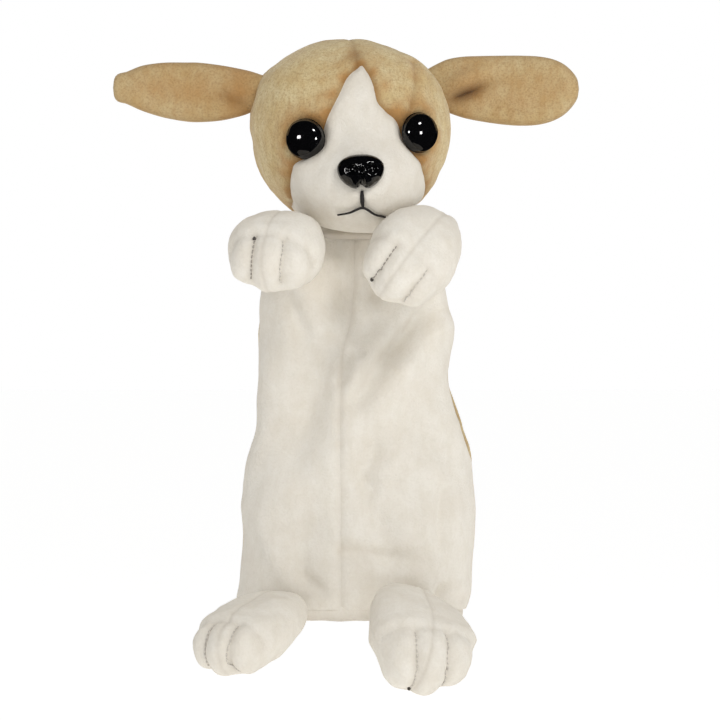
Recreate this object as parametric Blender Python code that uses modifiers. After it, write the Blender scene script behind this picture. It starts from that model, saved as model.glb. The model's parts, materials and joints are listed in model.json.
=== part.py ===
"""A plush puppy hand puppet, standing upright as it is worn on a hand.

Frame: metres, +Z up. The origin is the middle of the hand opening at the bottom hem.
The puppy looks along -Y, so its own left side is +X.

A flat sleeve of three panels and a lining takes the hand. The head, two arms and two legs are
stuffed pieces sewn to it, and the ears are two layers of cloth. Every stuffed piece is a skin of
cloth panels round a core of fibre. The eyes and the nose are plastic, held by washers inside.
"""

import math

import bmesh
import bpy
from mathutils import Matrix, Vector

MM = 0.001

# Cloth, threads and gaps
FABRIC = 2.0 * MM  # plush cloth with its pile
LINING = 0.8 * MM
SEAM_GAP = 0.4 * MM  # between two panels at a seam
LAYER_GAP = 0.5 * MM  # between a piece and what it lies on
CORE_GAP = 2.2 * MM  # between a skin and what is inside it
THREAD_RADIUS = 0.5 * MM
THREAD_LIFT = 1.2 * MM  # from the cloth's surface to the middle of a thread
SEAT_GAP = 1.3 * MM  # under an eye's or the nose's flat back
SHANK_FIT = 0.35 * MM  # round a shank in its hole

# Sleeve
SLEEVE_HEIGHT = 175 * MM
SLEEVE_HALF_WIDTH = 52 * MM
SLEEVE_HALF_DEPTH = 24.5 * MM
# Shares of the height, half width and half depth, from the hem up to the shoulders
SLEEVE_PROFILE = (
    (0, 0.92, 0.88),
    (0.08, 0.98, 0.96),
    (0.2, 1, 1),
    (0.36, 0.98, 1),
    (0.55, 0.85, 0.94),
    (0.68, 0.81, 0.9),
    (0.84, 0.81, 0.88),
    (0.92, 0.72, 0.84),
)
SLEEVE_SQUARENESS = 2.4  # the exponent of its oval section
SIDE_SEAM = 4 * MM  # how far behind the widest line the back panel starts
HEM_HEIGHT = 8 * MM
HEM_THICKNESS = 3.6 * MM
HEM_GAP = 1.4 * MM  # from the hem's upper edge to the panels and the lining

# Neck and finger pocket
NECK_RISE = 7 * MM  # from the sleeve's top to the pivot of the head
NECK_HALF_WIDTH = 18.5 * MM
NECK_HALF_DEPTH = 15.5 * MM
NECK_FLARE = 2.5 * MM  # how much wider the sleeve's top is than the neck band
NECK_BAND_HEIGHT = 5 * MM
NECK_SPACE = 2 * MM  # that the head leaves free round the neck band
POCKET_RADIUS = 11 * MM
POCKET_WALL = 1.2 * MM
POCKET_BELOW = 4 * MM
POCKET_TOP_SHARE = 0.3373  # of the skull's half height, over its middle

# Head, from the neck pivot
HEAD_TURN = math.radians(6)
HEAD_ROLL = math.radians(-2)
SKULL_RADII = Vector((45.5 * MM, 40 * MM, 41.5 * MM))
SKULL_BELOW = 1.5 * MM  # how far the skull reaches below the pivot
SKULL_AHEAD = 2 * MM
SKULL_SQUARENESS = 2.4
# As shares of the skull's radii: the muzzle's radii, and its middle from the skull's middle
MUZZLE_SHARES = (0.637, 0.7, 0.542)
MUZZLE_OFFSET = (0, -0.65, -0.554)
MUZZLE_BLEND = 5 * MM
HEAD_BACK_SEAM = 8 * MM  # how far behind the pivot the back panel starts
FACE_END = 3 * MM  # how far in front of the pivot the white face ends under the chin
# Half of the white face, from the tip of the blaze to under the chin, as shares of the
# skull's half width, and of its half height over its centre
FACE_OUTLINE = (
    (0, 0.7),
    (0.09, 0.48),
    (0.19, 0.29),
    (0.31, 0.1),
    (0.46, -0.07),
    (0.58, -0.27),
    (0.68, -0.46),
    (0.71, -0.63),
    (0.68, -0.8),
    (0.59, -1.02),
    (0.44, -1.25),
)

# Eyes, nose and mouth, on the head's front
EYE_SPACING_SHARE = 1.165  # of the skull's half width
EYE_HEIGHT_SHARE = -0.06  # of the skull's half height, from its middle
EYE_RADIUS = 9 * MM
EYE_DOME = 6.5 * MM
SHANK_RADIUS = 2.2 * MM
SHANK_LENGTH = 9 * MM
WASHER_RADIUS = 6.5 * MM
WASHER_THICKNESS = 1.5 * MM
NOSE_WIDTH = 21 * MM
NOSE_TALL = 15 * MM
NOSE_DEPTH = 8 * MM
# As shares of the muzzle's half height: the nose over its middle, and the mouth's sizes
NOSE_HEIGHT_SHARE = 0.2
MOUTH_DROP_SHARE = 0.444  # from the nose's middle to the top of the stitching
MOUTH_STEM_SHARE = 0.267
MOUTH_CURVE_SHARE = 0.187
MOUTH_WIDTH_SHARE = 0.358  # of the muzzle's half width, on each side

# Ears, each two layers of cloth that hinge where they are sewn to the head
EAR_LENGTH = 51 * MM  # from the hinge
EAR_WIDTH = 30 * MM
EAR_ROOT_WIDTH = 17 * MM
EAR_LAYER = 3.2 * MM
EAR_HEIGHT_SHARE = 0.4337  # of the skull's half height, over its middle
EAR_BACK = 2 * MM
EAR_RISE = {"left": math.radians(-6), "right": math.radians(4)}

# Arms and legs. Each one runs from its root, a ball that turns beside the sleeve, through a bend
# to the end of its paw; bend and paw are measured from the root.
ARM_ROOT_RADIUS = 12 * MM
ARM_PAW = (18.5 * MM, 16.5 * MM)  # half width and half height
ARM_DROP = 8 * MM  # from the sleeve's top to the root's middle
ARM_OUT = {"left": 34 * MM, "right": -27 * MM}
ARM_BEND = {
    "left": Vector((13, -28, 2)) * MM,
    "right": Vector((-13, -20, 6)) * MM,
}
ARM_END = {
    "left": Vector((-31, -36, -17)) * MM,
    "right": Vector((-19, -41, -12)) * MM,
}
LEG_ROOT_RADIUS = 14 * MM
LEG_PAW = (25 * MM, 17 * MM)
LEG_HEIGHT = 3 * MM
LEG_OUT = {"left": 32 * MM, "right": -39 * MM}
LEG_BEND = {
    "left": Vector((-2, -28, -2)) * MM,
    "right": Vector((-6, -28, 1)) * MM,
}
LEG_END = {
    "left": Vector((-4, -40, -30)) * MM,
    "right": Vector((-16, -42, -17)) * MM,
}
PAW_SWELL = (0.15, 0.7)  # the shares of a limb's length where it widens from root to paw
LIMB_BLUNTNESS = 0.31  # the exponent of its rounded ends, blunter when smaller
TOE_SPREAD = 0.33  # of the paw's half width, from its middle to a toe stitch
SIDES = {"left": 1, "right": -1}

COLOURS = {
    "white_plush": (0.86, 0.84, 0.79),
    "tan_plush": (0.55, 0.36, 0.17),
    "black_plastic": (0.012, 0.012, 0.014),
    "black_thread": (0.02, 0.018, 0.018),
    "grey_thread": (0.35, 0.33, 0.31),
    "lining_cloth": (0.80, 0.78, 0.74),
    "clear_plastic": (0.75, 0.75, 0.73),
    "fibre_fill": (0.9, 0.9, 0.9),
}
ROUGHNESS = {"black_plastic": 0.12, "clear_plastic": 0.3}

# Worked out from the sizes above
NECK_PIVOT = Vector((0, 0, SLEEVE_HEIGHT + NECK_RISE))
NECK_BAND_BOTTOM = LAYER_GAP - NECK_RISE
NECK_BALL = NECK_SPACE + math.hypot(NECK_HALF_WIDTH, NECK_BAND_BOTTOM)
SKULL_CENTRE = Vector((0, -SKULL_AHEAD, SKULL_RADII.z - SKULL_BELOW))
MUZZLE_RADII = Vector([share * size for share, size in zip(MUZZLE_SHARES, SKULL_RADII)])
MUZZLE_CENTRE = SKULL_CENTRE + Vector([share * size for share, size in zip(MUZZLE_OFFSET, SKULL_RADII)])
EYE_SPACING = EYE_SPACING_SHARE * SKULL_RADII.x
EYE_HEIGHT = SKULL_CENTRE.z + EYE_HEIGHT_SHARE * SKULL_RADII.z
EAR_HEIGHT = SKULL_CENTRE.z + EAR_HEIGHT_SHARE * SKULL_RADII.z
POCKET_ABOVE = SKULL_CENTRE.z + POCKET_TOP_SHARE * SKULL_RADII.z
NOSE_HEIGHT = MUZZLE_CENTRE.z + NOSE_HEIGHT_SHARE * MUZZLE_RADII.z
MOUTH_TOP = NOSE_HEIGHT - MOUTH_DROP_SHARE * MUZZLE_RADII.z
MOUTH_JUNCTION = MOUTH_TOP - MOUTH_STEM_SHARE * MUZZLE_RADII.z
MOUTH_CURVE = MOUTH_CURVE_SHARE * MUZZLE_RADII.z
MOUTH_HALF_WIDTH = MOUTH_WIDTH_SHARE * MUZZLE_RADII.x


def clear_scene():
    for obj in list(bpy.data.objects):
        bpy.data.objects.remove(obj)


def make_collection(name):
    collection = bpy.data.collections.new(name)
    bpy.context.scene.collection.children.link(collection)
    return collection


def make_materials():
    made = {}
    for name, colour in COLOURS.items():
        material = bpy.data.materials.new(name)
        material.use_nodes = True
        shader = material.node_tree.nodes["Principled BSDF"]
        shader.inputs["Base Color"].default_value = (*colour, 1)
        shader.inputs["Roughness"].default_value = ROUGHNESS.get(name, 0.9)
        shader.inputs["Metallic"].default_value = 0
        made[name] = material
    return made


def make_pivot(name, matrix, parent=None):
    """An empty on a joint's axis, placed in its parent's frame."""
    pivot = bpy.data.objects.new(name, None)
    pivot.parent = parent
    pivot.matrix_local = matrix
    pivot.empty_display_size = 10 * MM
    parts.objects.link(pivot)
    return pivot


def add_object(name, bm, material, parent=None, matrix=None):
    mesh = bpy.data.meshes.new(name)
    bm.to_mesh(mesh)
    bm.free()
    mesh.materials.append(materials[material])
    mesh.shade_smooth()
    obj = bpy.data.objects.new(name, mesh)
    obj.parent = parent
    if matrix is not None:
        obj.matrix_local = matrix
    parts.objects.link(obj)
    return obj


def add_cutter(name, bm, parent=None, matrix=None):
    obj = add_object(name, bm, "lining_cloth", parent, matrix)
    parts.objects.unlink(obj)
    cutters.objects.link(obj)
    obj.hide_render = True
    obj.display_type = "WIRE"
    return obj


def boolean(obj, other, operation):
    modifier = obj.modifiers.new(f"{operation.lower()} {other.name}", "BOOLEAN")
    modifier.operation = operation
    modifier.object = other


def solidify(obj, thickness):
    """Thickens an open surface inwards from its outer face."""
    modifier = obj.modifiers.new("cloth thickness", "SOLIDIFY")
    modifier.thickness = thickness
    modifier.offset = -1


def shrink(obj, distance):
    """Moves every point of a surface inwards along its normal."""
    modifier = obj.modifiers.new("layer inside", "DISPLACE")
    modifier.mid_level = 0
    modifier.strength = -distance


def formed_grid(u_steps, v_steps, shape, closed=False):
    """A grid primitive bent over shape(u, v), with u and v from 0 to 1, welded round if closed."""
    bm = bmesh.new()
    bmesh.ops.create_grid(bm, x_segments=u_steps, y_segments=v_steps, size=1)
    for vertex in bm.verts:
        vertex.co = shape((vertex.co.x + 1) / 2, (vertex.co.y + 1) / 2)
    if closed:
        bmesh.ops.remove_doubles(bm, verts=bm.verts, dist=0.01 * MM)
    return bm


def formed_sphere(around, rings, shape):
    """A UV sphere primitive whose directions are moved out by shape(direction)."""
    bm = bmesh.new()
    bmesh.ops.create_uvsphere(bm, u_segments=around, v_segments=rings, radius=1)
    for vertex in bm.verts:
        vertex.co = shape(vertex.co.normalized())
    if bm.calc_volume(signed=True) < 0:
        bmesh.ops.reverse_faces(bm, faces=bm.faces)
    return bm


def cylinder(radius, bottom, top, around=20):
    bm = bmesh.new()
    bmesh.ops.create_cone(
        bm, cap_ends=True, segments=around, radius1=radius, radius2=radius, depth=top - bottom
    )
    bmesh.ops.translate(bm, verts=bm.verts, vec=(0, 0, (top + bottom) / 2))
    return bm


def box_cutter(name, low, high, parent, matrix=None):
    bm = bmesh.new()
    bmesh.ops.create_cube(bm, size=1)
    for vertex in bm.verts:
        share = vertex.co + Vector((0.5, 0.5, 0.5))
        vertex.co = Vector([low[k] + (high[k] - low[k]) * share[k] for k in range(3)])
    return add_cutter(name, bm, parent, matrix)


def turned(profile, around):
    """A body turned about Z from a profile of (radius, height)."""
    bm = bmesh.new()
    points = [bm.verts.new((radius, 0, height)) for radius, height in profile]
    edges = [bm.edges.new(pair) for pair in zip(points, points[1:])]
    bmesh.ops.spin(
        bm,
        geom=points + edges,
        cent=(0, 0, 0),
        axis=(0, 0, 1),
        angle=2 * math.pi,
        steps=around,
        use_merge=True,
    )
    bmesh.ops.remove_doubles(bm, verts=bm.verts, dist=0.01 * MM)
    bmesh.ops.recalc_face_normals(bm, faces=bm.faces)
    return bm


def smoothstep(low, high, value):
    share = min(1, max(0, (value - low) / (high - low)))
    return share * share * (3 - 2 * share)


def interpolate(stations, at, k):
    """Column k of the stations on a smooth curve, read at one place in column 0."""
    last = len(stations) - 2
    index = next((i for i in range(last) if at <= stations[i + 1][0]), last)
    near, far = stations[index], stations[index + 1]
    before = stations[max(index - 1, 0)]
    after = stations[min(index + 2, len(stations) - 1)]
    width = far[0] - near[0]
    share = (at - near[0]) / width
    start_slope = (far[k] - before[k]) / (far[0] - before[0]) * width
    end_slope = (after[k] - near[k]) / (after[0] - near[0]) * width
    return (
        (2 * share**3 - 3 * share**2 + 1) * near[k]
        + (share**3 - 2 * share**2 + share) * start_slope
        + (3 * share**2 - 2 * share**3) * far[k]
        + (share**3 - share**2) * end_slope
    )


def sleeve_point(angle, height):
    """A point of the sleeve's outer face, at an angle round it and a height."""
    stations = [
        (h * SLEEVE_HEIGHT, w * SLEEVE_HALF_WIDTH, d * SLEEVE_HALF_DEPTH)
        for h, w, d in SLEEVE_PROFILE
    ]
    stations.append((SLEEVE_HEIGHT, NECK_HALF_WIDTH + NECK_FLARE, NECK_HALF_DEPTH + NECK_FLARE))
    c, s = math.cos(angle), math.sin(angle)
    reach = (abs(c) ** SLEEVE_SQUARENESS + abs(s) ** SLEEVE_SQUARENESS) ** (-1 / SLEEVE_SQUARENESS)
    half_width = interpolate(stations, height, 1)
    half_depth = interpolate(stations, height, 2)
    return Vector((reach * c * half_width, reach * s * half_depth, height))


def sleeve_surface():
    """The sleeve's outer face over the hem, open at both ends."""
    bottom = HEM_HEIGHT + HEM_GAP

    def shape(u, v):
        return sleeve_point(2 * math.pi * u, bottom + v * (SLEEVE_HEIGHT - bottom))

    return formed_grid(24, 10, shape, closed=True)


def make_sleeve():
    """Two white front panels, a tan back panel, the hem and the lining for the hand."""
    wide, deep, high = 2 * SLEEVE_HALF_WIDTH, 2 * SLEEVE_HALF_DEPTH, 2 * SLEEVE_HEIGHT
    half_gap = SEAM_GAP / 2
    regions = {
        "front_panel_left": ((half_gap, -deep, -high), (wide, SIDE_SEAM - half_gap, high)),
        "front_panel_right": ((-wide, -deep, -high), (-half_gap, SIDE_SEAM - half_gap, high)),
        "back_panel": ((-wide, SIDE_SEAM + half_gap, -high), (wide, deep, high)),
    }
    for name, (low, far) in regions.items():
        material = "tan_plush" if name == "back_panel" else "white_plush"
        panel = add_object(name, sleeve_surface(), material)
        solidify(panel, FABRIC)
        boolean(panel, box_cutter(f"{name}_region", low, far, None), "INTERSECT")

    def hem_shape(u, v):
        return sleeve_point(2 * math.pi * u, v * HEM_HEIGHT)

    hem = add_object("hem_band", formed_grid(24, 2, hem_shape, closed=True), "white_plush")
    solidify(hem, HEM_THICKNESS)
    lining = add_object("hand_sleeve_lining", sleeve_surface(), "lining_cloth")
    shrink(lining, FABRIC + LAYER_GAP)
    solidify(lining, LINING)


def make_neck_band():
    def shape(u, v):
        angle = 2 * math.pi * u
        height = NECK_BAND_BOTTOM + v * NECK_BAND_HEIGHT
        return Vector((NECK_HALF_WIDTH * math.cos(angle), NECK_HALF_DEPTH * math.sin(angle), height))

    bm = formed_grid(24, 2, shape, closed=True)
    solidify(add_object("neck_band", bm, "white_plush", neck_pivot), FABRIC)


def skull_reach(direction):
    total = sum(abs(direction[k] / SKULL_RADII[k]) ** SKULL_SQUARENESS for k in range(3))
    return total ** (-1 / SKULL_SQUARENESS)


def muzzle_reach(direction):
    """How far the muzzle comes from the skull's centre along a direction."""
    ahead = Vector([direction[k] / MUZZLE_RADII[k] for k in range(3)])
    offset = MUZZLE_CENTRE - SKULL_CENTRE
    centre = Vector([offset[k] / MUZZLE_RADII[k] for k in range(3)])
    a, b, c = ahead.dot(ahead), ahead.dot(centre), centre.dot(centre) - 1
    inside = b * b - a * c
    return (b + math.sqrt(inside)) / a if inside > 0 else 0


def head_point(direction):
    skull, muzzle = skull_reach(direction), muzzle_reach(direction)
    near = max(0, 1 - abs(skull - muzzle) / MUZZLE_BLEND)
    return SKULL_CENTRE + direction * (max(skull, muzzle) + near * near * MUZZLE_BLEND / 4)


def front_of_head(x, z):
    """The point on the head's front at a width and a height, and the outward normal there."""
    aside = Vector((x, 0, z - SKULL_CENTRE.z))
    away = aside.normalized()
    low, high = 0.0, math.pi / 2
    while high - low > 1e-6:
        middle = (low + high) / 2
        direction = away * math.sin(middle) - Vector((0, math.cos(middle), 0))
        reach = head_point(direction) - SKULL_CENTRE
        if math.hypot(reach.x, reach.z) < aside.length:
            low = middle
        else:
            high = middle
    step = 0.01
    to_side = head_point((direction + Vector((step, 0, 0))).normalized()) - head_point(direction)
    upward = head_point((direction + Vector((0, 0, step))).normalized()) - head_point(direction)
    return head_point(direction), to_side.cross(upward).normalized()


def face_bar(name, grow):
    """The white face's outline, grown by a gap, as a bar along Y through the head's front."""
    half = [
        (x * SKULL_RADII.x + (grow if x else 0), SKULL_CENTRE.z + z * SKULL_RADII.z)
        for x, z in FACE_OUTLINE
    ]
    half[0] = (0, half[0][1] + 2 * grow)
    length = 2 * SKULL_RADII.y + MUZZLE_RADII.y
    outline = half + [(-x, z) for x, z in reversed(half[1:])]
    bm = bmesh.new()
    face = bm.faces.new([bm.verts.new((x, -length, z)) for x, z in outline])
    made = bmesh.ops.extrude_face_region(bm, geom=[face])
    moved = [item for item in made["geom"] if isinstance(item, bmesh.types.BMVert)]
    bmesh.ops.translate(bm, verts=moved, vec=(0, length - FACE_END - SEAM_GAP + grow, 0))
    bmesh.ops.recalc_face_normals(bm, faces=bm.faces)
    return add_cutter(name, bm, head_pivot)


def head_surface():
    """The head's skin, with the sphere's rings round the muzzle, where they are finest."""
    return formed_sphere(24, 20, lambda d: head_point(Vector((d.x, -d.z, d.y))))


def make_head_skin():
    """The head's cloth: two tan caps, a tan back panel and the white face."""
    wide, high = 2 * SKULL_RADII.x, 2 * (SKULL_CENTRE.z + SKULL_RADII.z)
    deep = 2 * SKULL_RADII.y + MUZZLE_RADII.y
    cap_end = HEAD_BACK_SEAM - SEAM_GAP
    regions = {
        "head_back_panel": box_cutter(
            "back_region", (-wide, HEAD_BACK_SEAM, -high), (wide, deep, high), head_pivot
        ),
        "head_cap_left": box_cutter(
            "left_region", (SEAM_GAP / 2, -deep, -high), (wide, cap_end, high), head_pivot
        ),
        "head_cap_right": box_cutter(
            "right_region", (-wide, -deep, -high), (-SEAM_GAP / 2, cap_end, high), head_pivot
        ),
        "face_panel": face_bar("face_region", 0),
    }
    neck_space = add_cutter("neck_space", formed_sphere(20, 14, lambda d: d * NECK_BALL), head_pivot)
    face_clearance = face_bar("face_clearance", SEAM_GAP)
    skin = {}
    for name, region in regions.items():
        material = "white_plush" if name == "face_panel" else "tan_plush"
        skin[name] = add_object(name, head_surface(), material, head_pivot)
        solidify(skin[name], FABRIC)
        boolean(skin[name], region, "INTERSECT")
        boolean(skin[name], neck_space, "DIFFERENCE")
        if "cap" in name:
            boolean(skin[name], face_clearance, "DIFFERENCE")
    return skin


def make_head_core():
    core = add_object("head_stuffing", head_surface(), "fibre_fill", head_pivot)
    shrink(core, FABRIC + CORE_GAP)
    neck_space = bpy.data.objects["neck_space"]
    boolean(core, neck_space, "DIFFERENCE")
    channel = cylinder(POCKET_RADIUS + LAYER_GAP, -POCKET_BELOW, POCKET_ABOVE + LAYER_GAP)
    boolean(core, add_cutter("pocket_channel", channel, head_pivot), "DIFFERENCE")

    bm = cylinder(POCKET_RADIUS, -POCKET_BELOW, POCKET_ABOVE)
    mouth = min(bm.faces, key=lambda face: face.calc_center_median().z)
    bmesh.ops.delete(bm, geom=[mouth], context="FACES_ONLY")
    pocket = add_object("finger_pocket", bm, "lining_cloth", head_pivot)
    solidify(pocket, POCKET_WALL)
    return core


def skin_heights(frame, half_width, half_height):
    """The lowest and the highest place of the head's surface under a rim, along the frame's Z."""
    to_frame = frame.inverted()
    steps = 24
    heights = [0]
    for k in range(steps):
        turn = 2 * math.pi * k / steps
        rim = frame @ Vector((half_width * math.cos(turn), half_height * math.sin(turn), 0))
        heights.append((to_frame @ front_of_head(rim.x, rim.z)[0]).z)
    return min(heights), max(heights)


def make_button(name, place, skin, core, half_width, half_height, dome):
    """A plastic eye or nose on its shank, the washer that locks it, and the holes they need."""
    point, normal = front_of_head(*place)
    frame = Matrix.Translation(point) @ normal.to_track_quat("Z", "Y").to_matrix().to_4x4()
    seat = skin_heights(frame, half_width, half_height)[1] + SEAT_GAP
    steps = 6
    profile = []
    for k in range(steps + 1):
        rise = math.pi / 2 * (1 - k / steps)
        profile.append((half_width * math.cos(rise), seat + dome * math.sin(rise)))
    profile += [(SHANK_RADIUS, seat), (SHANK_RADIUS, -SHANK_LENGTH), (0, -SHANK_LENGTH)]
    bm = turned(profile, 20)
    for vertex in bm.verts:
        if math.hypot(vertex.co.x, vertex.co.y) > SHANK_RADIUS + SHANK_FIT / 2:
            vertex.co.y *= half_height / half_width
    add_object(name, bm, "black_plastic", head_pivot, frame)

    hole_radius = SHANK_RADIUS + SHANK_FIT
    top = skin_heights(frame, WASHER_RADIUS, WASHER_RADIUS)[0] - FABRIC - CORE_GAP
    bottom = top - WASHER_THICKNESS
    ring = [(hole_radius, top), (WASHER_RADIUS, top), (WASHER_RADIUS, bottom), (hole_radius, bottom)]
    bm = turned([*ring, ring[0]], 16)
    add_object(f"{name}_washer", bm, "clear_plastic", head_pivot, frame)

    depth = max(SHANK_LENGTH, -bottom) + LAYER_GAP
    hole = add_cutter(f"{name}_hole", cylinder(hole_radius, -depth, FABRIC, 12), head_pivot, frame)
    room = cylinder(WASHER_RADIUS + LAYER_GAP, -depth, FABRIC, 16)
    boolean(skin, hole, "DIFFERENCE")
    boolean(core, add_cutter(f"{name}_washer_room", room, head_pivot, frame), "DIFFERENCE")


def thread(name, points, material, parent):
    """A stitch: a thin tube through points in its parent's frame."""
    curve = bpy.data.curves.new(name, "CURVE")
    curve.dimensions = "3D"
    curve.bevel_depth = THREAD_RADIUS
    curve.bevel_resolution = 1
    curve.use_fill_caps = True
    curve.materials.append(materials[material])
    spline = curve.splines.new("POLY")
    spline.points.add(len(points) - 1)
    for knot, point in zip(spline.points, points):
        knot.co = (*point, 1)
    obj = bpy.data.objects.new(name, curve)
    obj.parent = parent
    parts.objects.link(obj)


def face_stitch(x, z):
    point, normal = front_of_head(x, z)
    return point + normal * THREAD_LIFT


def make_mouth():
    """A short upright stitch under the nose, and a curved one across its lower end."""
    clear_end = MOUTH_JUNCTION + 2 * THREAD_RADIUS + LAYER_GAP
    stem = [face_stitch(0, MOUTH_TOP + (clear_end - MOUTH_TOP) * k / 3) for k in range(4)]
    thread("mouth_stem_stitch", stem, "black_thread", head_pivot)
    steps = 5
    smile = []
    for k in range(-steps, steps + 1):
        drop = MOUTH_CURVE * math.sin(abs(k) / steps * math.pi / 2)
        smile.append(face_stitch(k / steps * MOUTH_HALF_WIDTH, MOUTH_JUNCTION - drop))
    thread("mouth_smile_stitch", smile, "black_thread", head_pivot)


def ear_outline(sign):
    """A long flap along X that starts round at its hinge and ends broad and blunt."""
    steps = 12
    upper = []
    for k in range(steps + 1):
        along = -math.cos(math.pi * k / steps) / 2 + 0.5
        half = EAR_ROOT_WIDTH + (EAR_WIDTH - EAR_ROOT_WIDTH) * smoothstep(0, 0.55, along)
        root = min(1, along * (2 * EAR_LENGTH / EAR_ROOT_WIDTH + 1))
        end = max(0, (along - 0.6) / 0.4)
        round_off = math.sqrt(1 - (1 - root) ** 2) * math.sqrt(max(0, 1 - end**2.3))
        x = along * (EAR_LENGTH + EAR_ROOT_WIDTH / 2) - EAR_ROOT_WIDTH / 2
        upper.append((sign * x, half / 2 * round_off))
    lower = [(x, -z) for x, z in reversed(upper[1:-1])]
    return upper + lower


def make_ear(side, sign):
    aside = SKULL_RADII.x + EAR_ROOT_WIDTH / 2 + LAYER_GAP
    place = Vector((sign * aside, EAR_BACK, EAR_HEIGHT))
    rise = Matrix.Rotation(-sign * EAR_RISE[side], 4, "Y")
    pivot = make_pivot(f"ear_{side}_pivot", Matrix.Translation(place) @ rise, head_pivot)
    upright = Matrix.Rotation(math.pi / 2, 4, "X")
    for layer, direction in (("front", -1), ("back", 1)):
        curve = bpy.data.curves.new(f"ear_{side}_{layer}", "CURVE")
        curve.dimensions = "2D"
        curve.fill_mode = "BOTH"
        curve.extrude = EAR_LAYER / 2
        curve.materials.append(materials["tan_plush"])
        outline = ear_outline(sign)
        spline = curve.splines.new("POLY")
        spline.points.add(len(outline) - 1)
        for knot, (x, z) in zip(spline.points, outline):
            knot.co = (x, z, 0, 1)
        spline.use_cyclic_u = True
        ear = bpy.data.objects.new(f"ear_{side}_{layer}", curve)
        ear.parent = pivot
        shift = direction * (EAR_LAYER + SEAM_GAP) / 2
        ear.matrix_local = Matrix.Translation((0, shift, 0)) @ upright
        parts.objects.link(ear)


def beside_sleeve(x, z, radius):
    """The middle of a ball in front of the sleeve, as near to it as the gap allows."""
    nearest = 0.0
    steps = 90
    for i in range(steps + 1):
        height = min(SLEEVE_HEIGHT, max(0, z - radius + 2 * radius * i / steps))
        for k in range(steps + 1):
            skin = sleeve_point(math.pi * (1 + k / steps), height)
            aside = math.hypot(skin.x - x, skin.z - z)
            if aside < radius + LAYER_GAP:
                nearest = min(nearest, skin.y - math.sqrt((radius + LAYER_GAP) ** 2 - aside**2))
    return Vector((x, nearest, z))


def limb_frame(limb, along):
    """The middle line's point and the directions across and over the limb, at a share of it."""
    start, bend, end = Vector((0, limb["root"], 0)), limb["bend"], limb["end"]
    middle = start * (1 - along) ** 2 + bend * (2 * along * (1 - along)) + end * along**2
    ahead = ((bend - start) * (1 - along) + (end - bend) * along).normalized()
    across = limb["across"]
    return middle, across, across.cross(ahead)


def limb_section(limb, along):
    swell = smoothstep(*PAW_SWELL, along)
    blunt = max(0, 4 * along * (1 - along)) ** LIMB_BLUNTNESS
    half_width = limb["root"] + (limb["paw"][0] - limb["root"]) * swell
    half_height = limb["root"] + (limb["paw"][1] - limb["root"]) * swell
    return half_width * blunt, half_height * blunt


def limb_point(limb, direction):
    """A sphere's direction moved onto the limb's skin: +Z is the root's end, -Z the paw's."""
    along = (1 - direction.z) / 2
    middle, across, over = limb_frame(limb, along)
    half_width, half_height = limb_section(limb, along)
    flat = math.hypot(direction.x, direction.y)
    if flat < 1e-6:
        return middle
    return middle + across * (half_width * direction.x / flat) + over * (half_height * direction.y / flat)


def toe_stitch_points(limb, aside):
    """A stitch over the end of a paw, at one distance from its middle plane."""
    blunt_end = (abs(aside) / limb["paw"][0]) ** (1 / LIMB_BLUNTNESS)
    start, end = 0.8, (1 + math.sqrt(1 - blunt_end)) / 2
    inside = limb_frame(limb, start)[0]
    steps = 12
    points = []
    for k in range(steps + 1):
        turn = math.pi * (0.08 + 0.8 * k / steps)
        along = start + (end - start) * math.sin(turn)
        middle, across, over = limb_frame(limb, along)
        half_width, half_height = limb_section(limb, along)
        height = half_height * math.sqrt(max(0, 1 - (aside / half_width) ** 2))
        skin = middle + across * aside + over * math.copysign(height, math.cos(turn))
        points.append(skin + (skin - inside).normalized() * THREAD_LIFT)
    return points


def make_limb(name, sign, place, limb):
    """A stuffed arm or leg: two cloth panels, a core of fibre and two toe stitches."""
    pivot = make_pivot(f"{name}_pivot", Matrix.Translation(place))
    first = limb["bend"] - Vector((0, limb["root"], 0))
    across = first.cross(limb["end"] - limb["bend"]).normalized()
    limb["across"] = across if across.x * sign > 0 else -across

    def surface():
        return formed_sphere(14, 12, lambda direction: limb_point(limb, direction))

    reach = 2 * limb["end"].length
    for half, side in (("outer", 1), ("inner", -1)):
        panel = add_object(f"{name}_{half}_panel", surface(), "white_plush", pivot)
        solidify(panel, FABRIC)
        frame = (limb["across"] * side).to_track_quat("X", "Z").to_matrix().to_4x4()
        low, high = (SEAM_GAP / 2, -reach, -reach), (reach, reach, reach)
        region = box_cutter(f"{name}_{half}_region", low, high, pivot, frame)
        boolean(panel, region, "INTERSECT")
        stitch = toe_stitch_points(limb, side * TOE_SPREAD * limb["paw"][0])
        thread(f"{name}_{half}_toe_stitch", stitch, "grey_thread", pivot)
    core = add_object(f"{name}_stuffing", surface(), "fibre_fill", pivot)
    shrink(core, FABRIC + CORE_GAP)


def make_arm(side, sign):
    place = beside_sleeve(ARM_OUT[side], SLEEVE_HEIGHT - ARM_DROP, ARM_ROOT_RADIUS)
    limb = {"root": ARM_ROOT_RADIUS, "paw": ARM_PAW, "bend": ARM_BEND[side], "end": ARM_END[side]}
    make_limb(f"arm_{side}", sign, place, limb)


def make_leg(side, sign):
    place = beside_sleeve(LEG_OUT[side], LEG_HEIGHT, LEG_ROOT_RADIUS)
    limb = {"root": LEG_ROOT_RADIUS, "paw": LEG_PAW, "bend": LEG_BEND[side], "end": LEG_END[side]}
    make_limb(f"leg_{side}", sign, place, limb)


clear_scene()
parts = make_collection("puppy_hand_puppet")
cutters = make_collection("cutters")
materials = make_materials()

make_sleeve()
neck_pivot = make_pivot("neck_pivot", Matrix.Translation(NECK_PIVOT))
make_neck_band()

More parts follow.
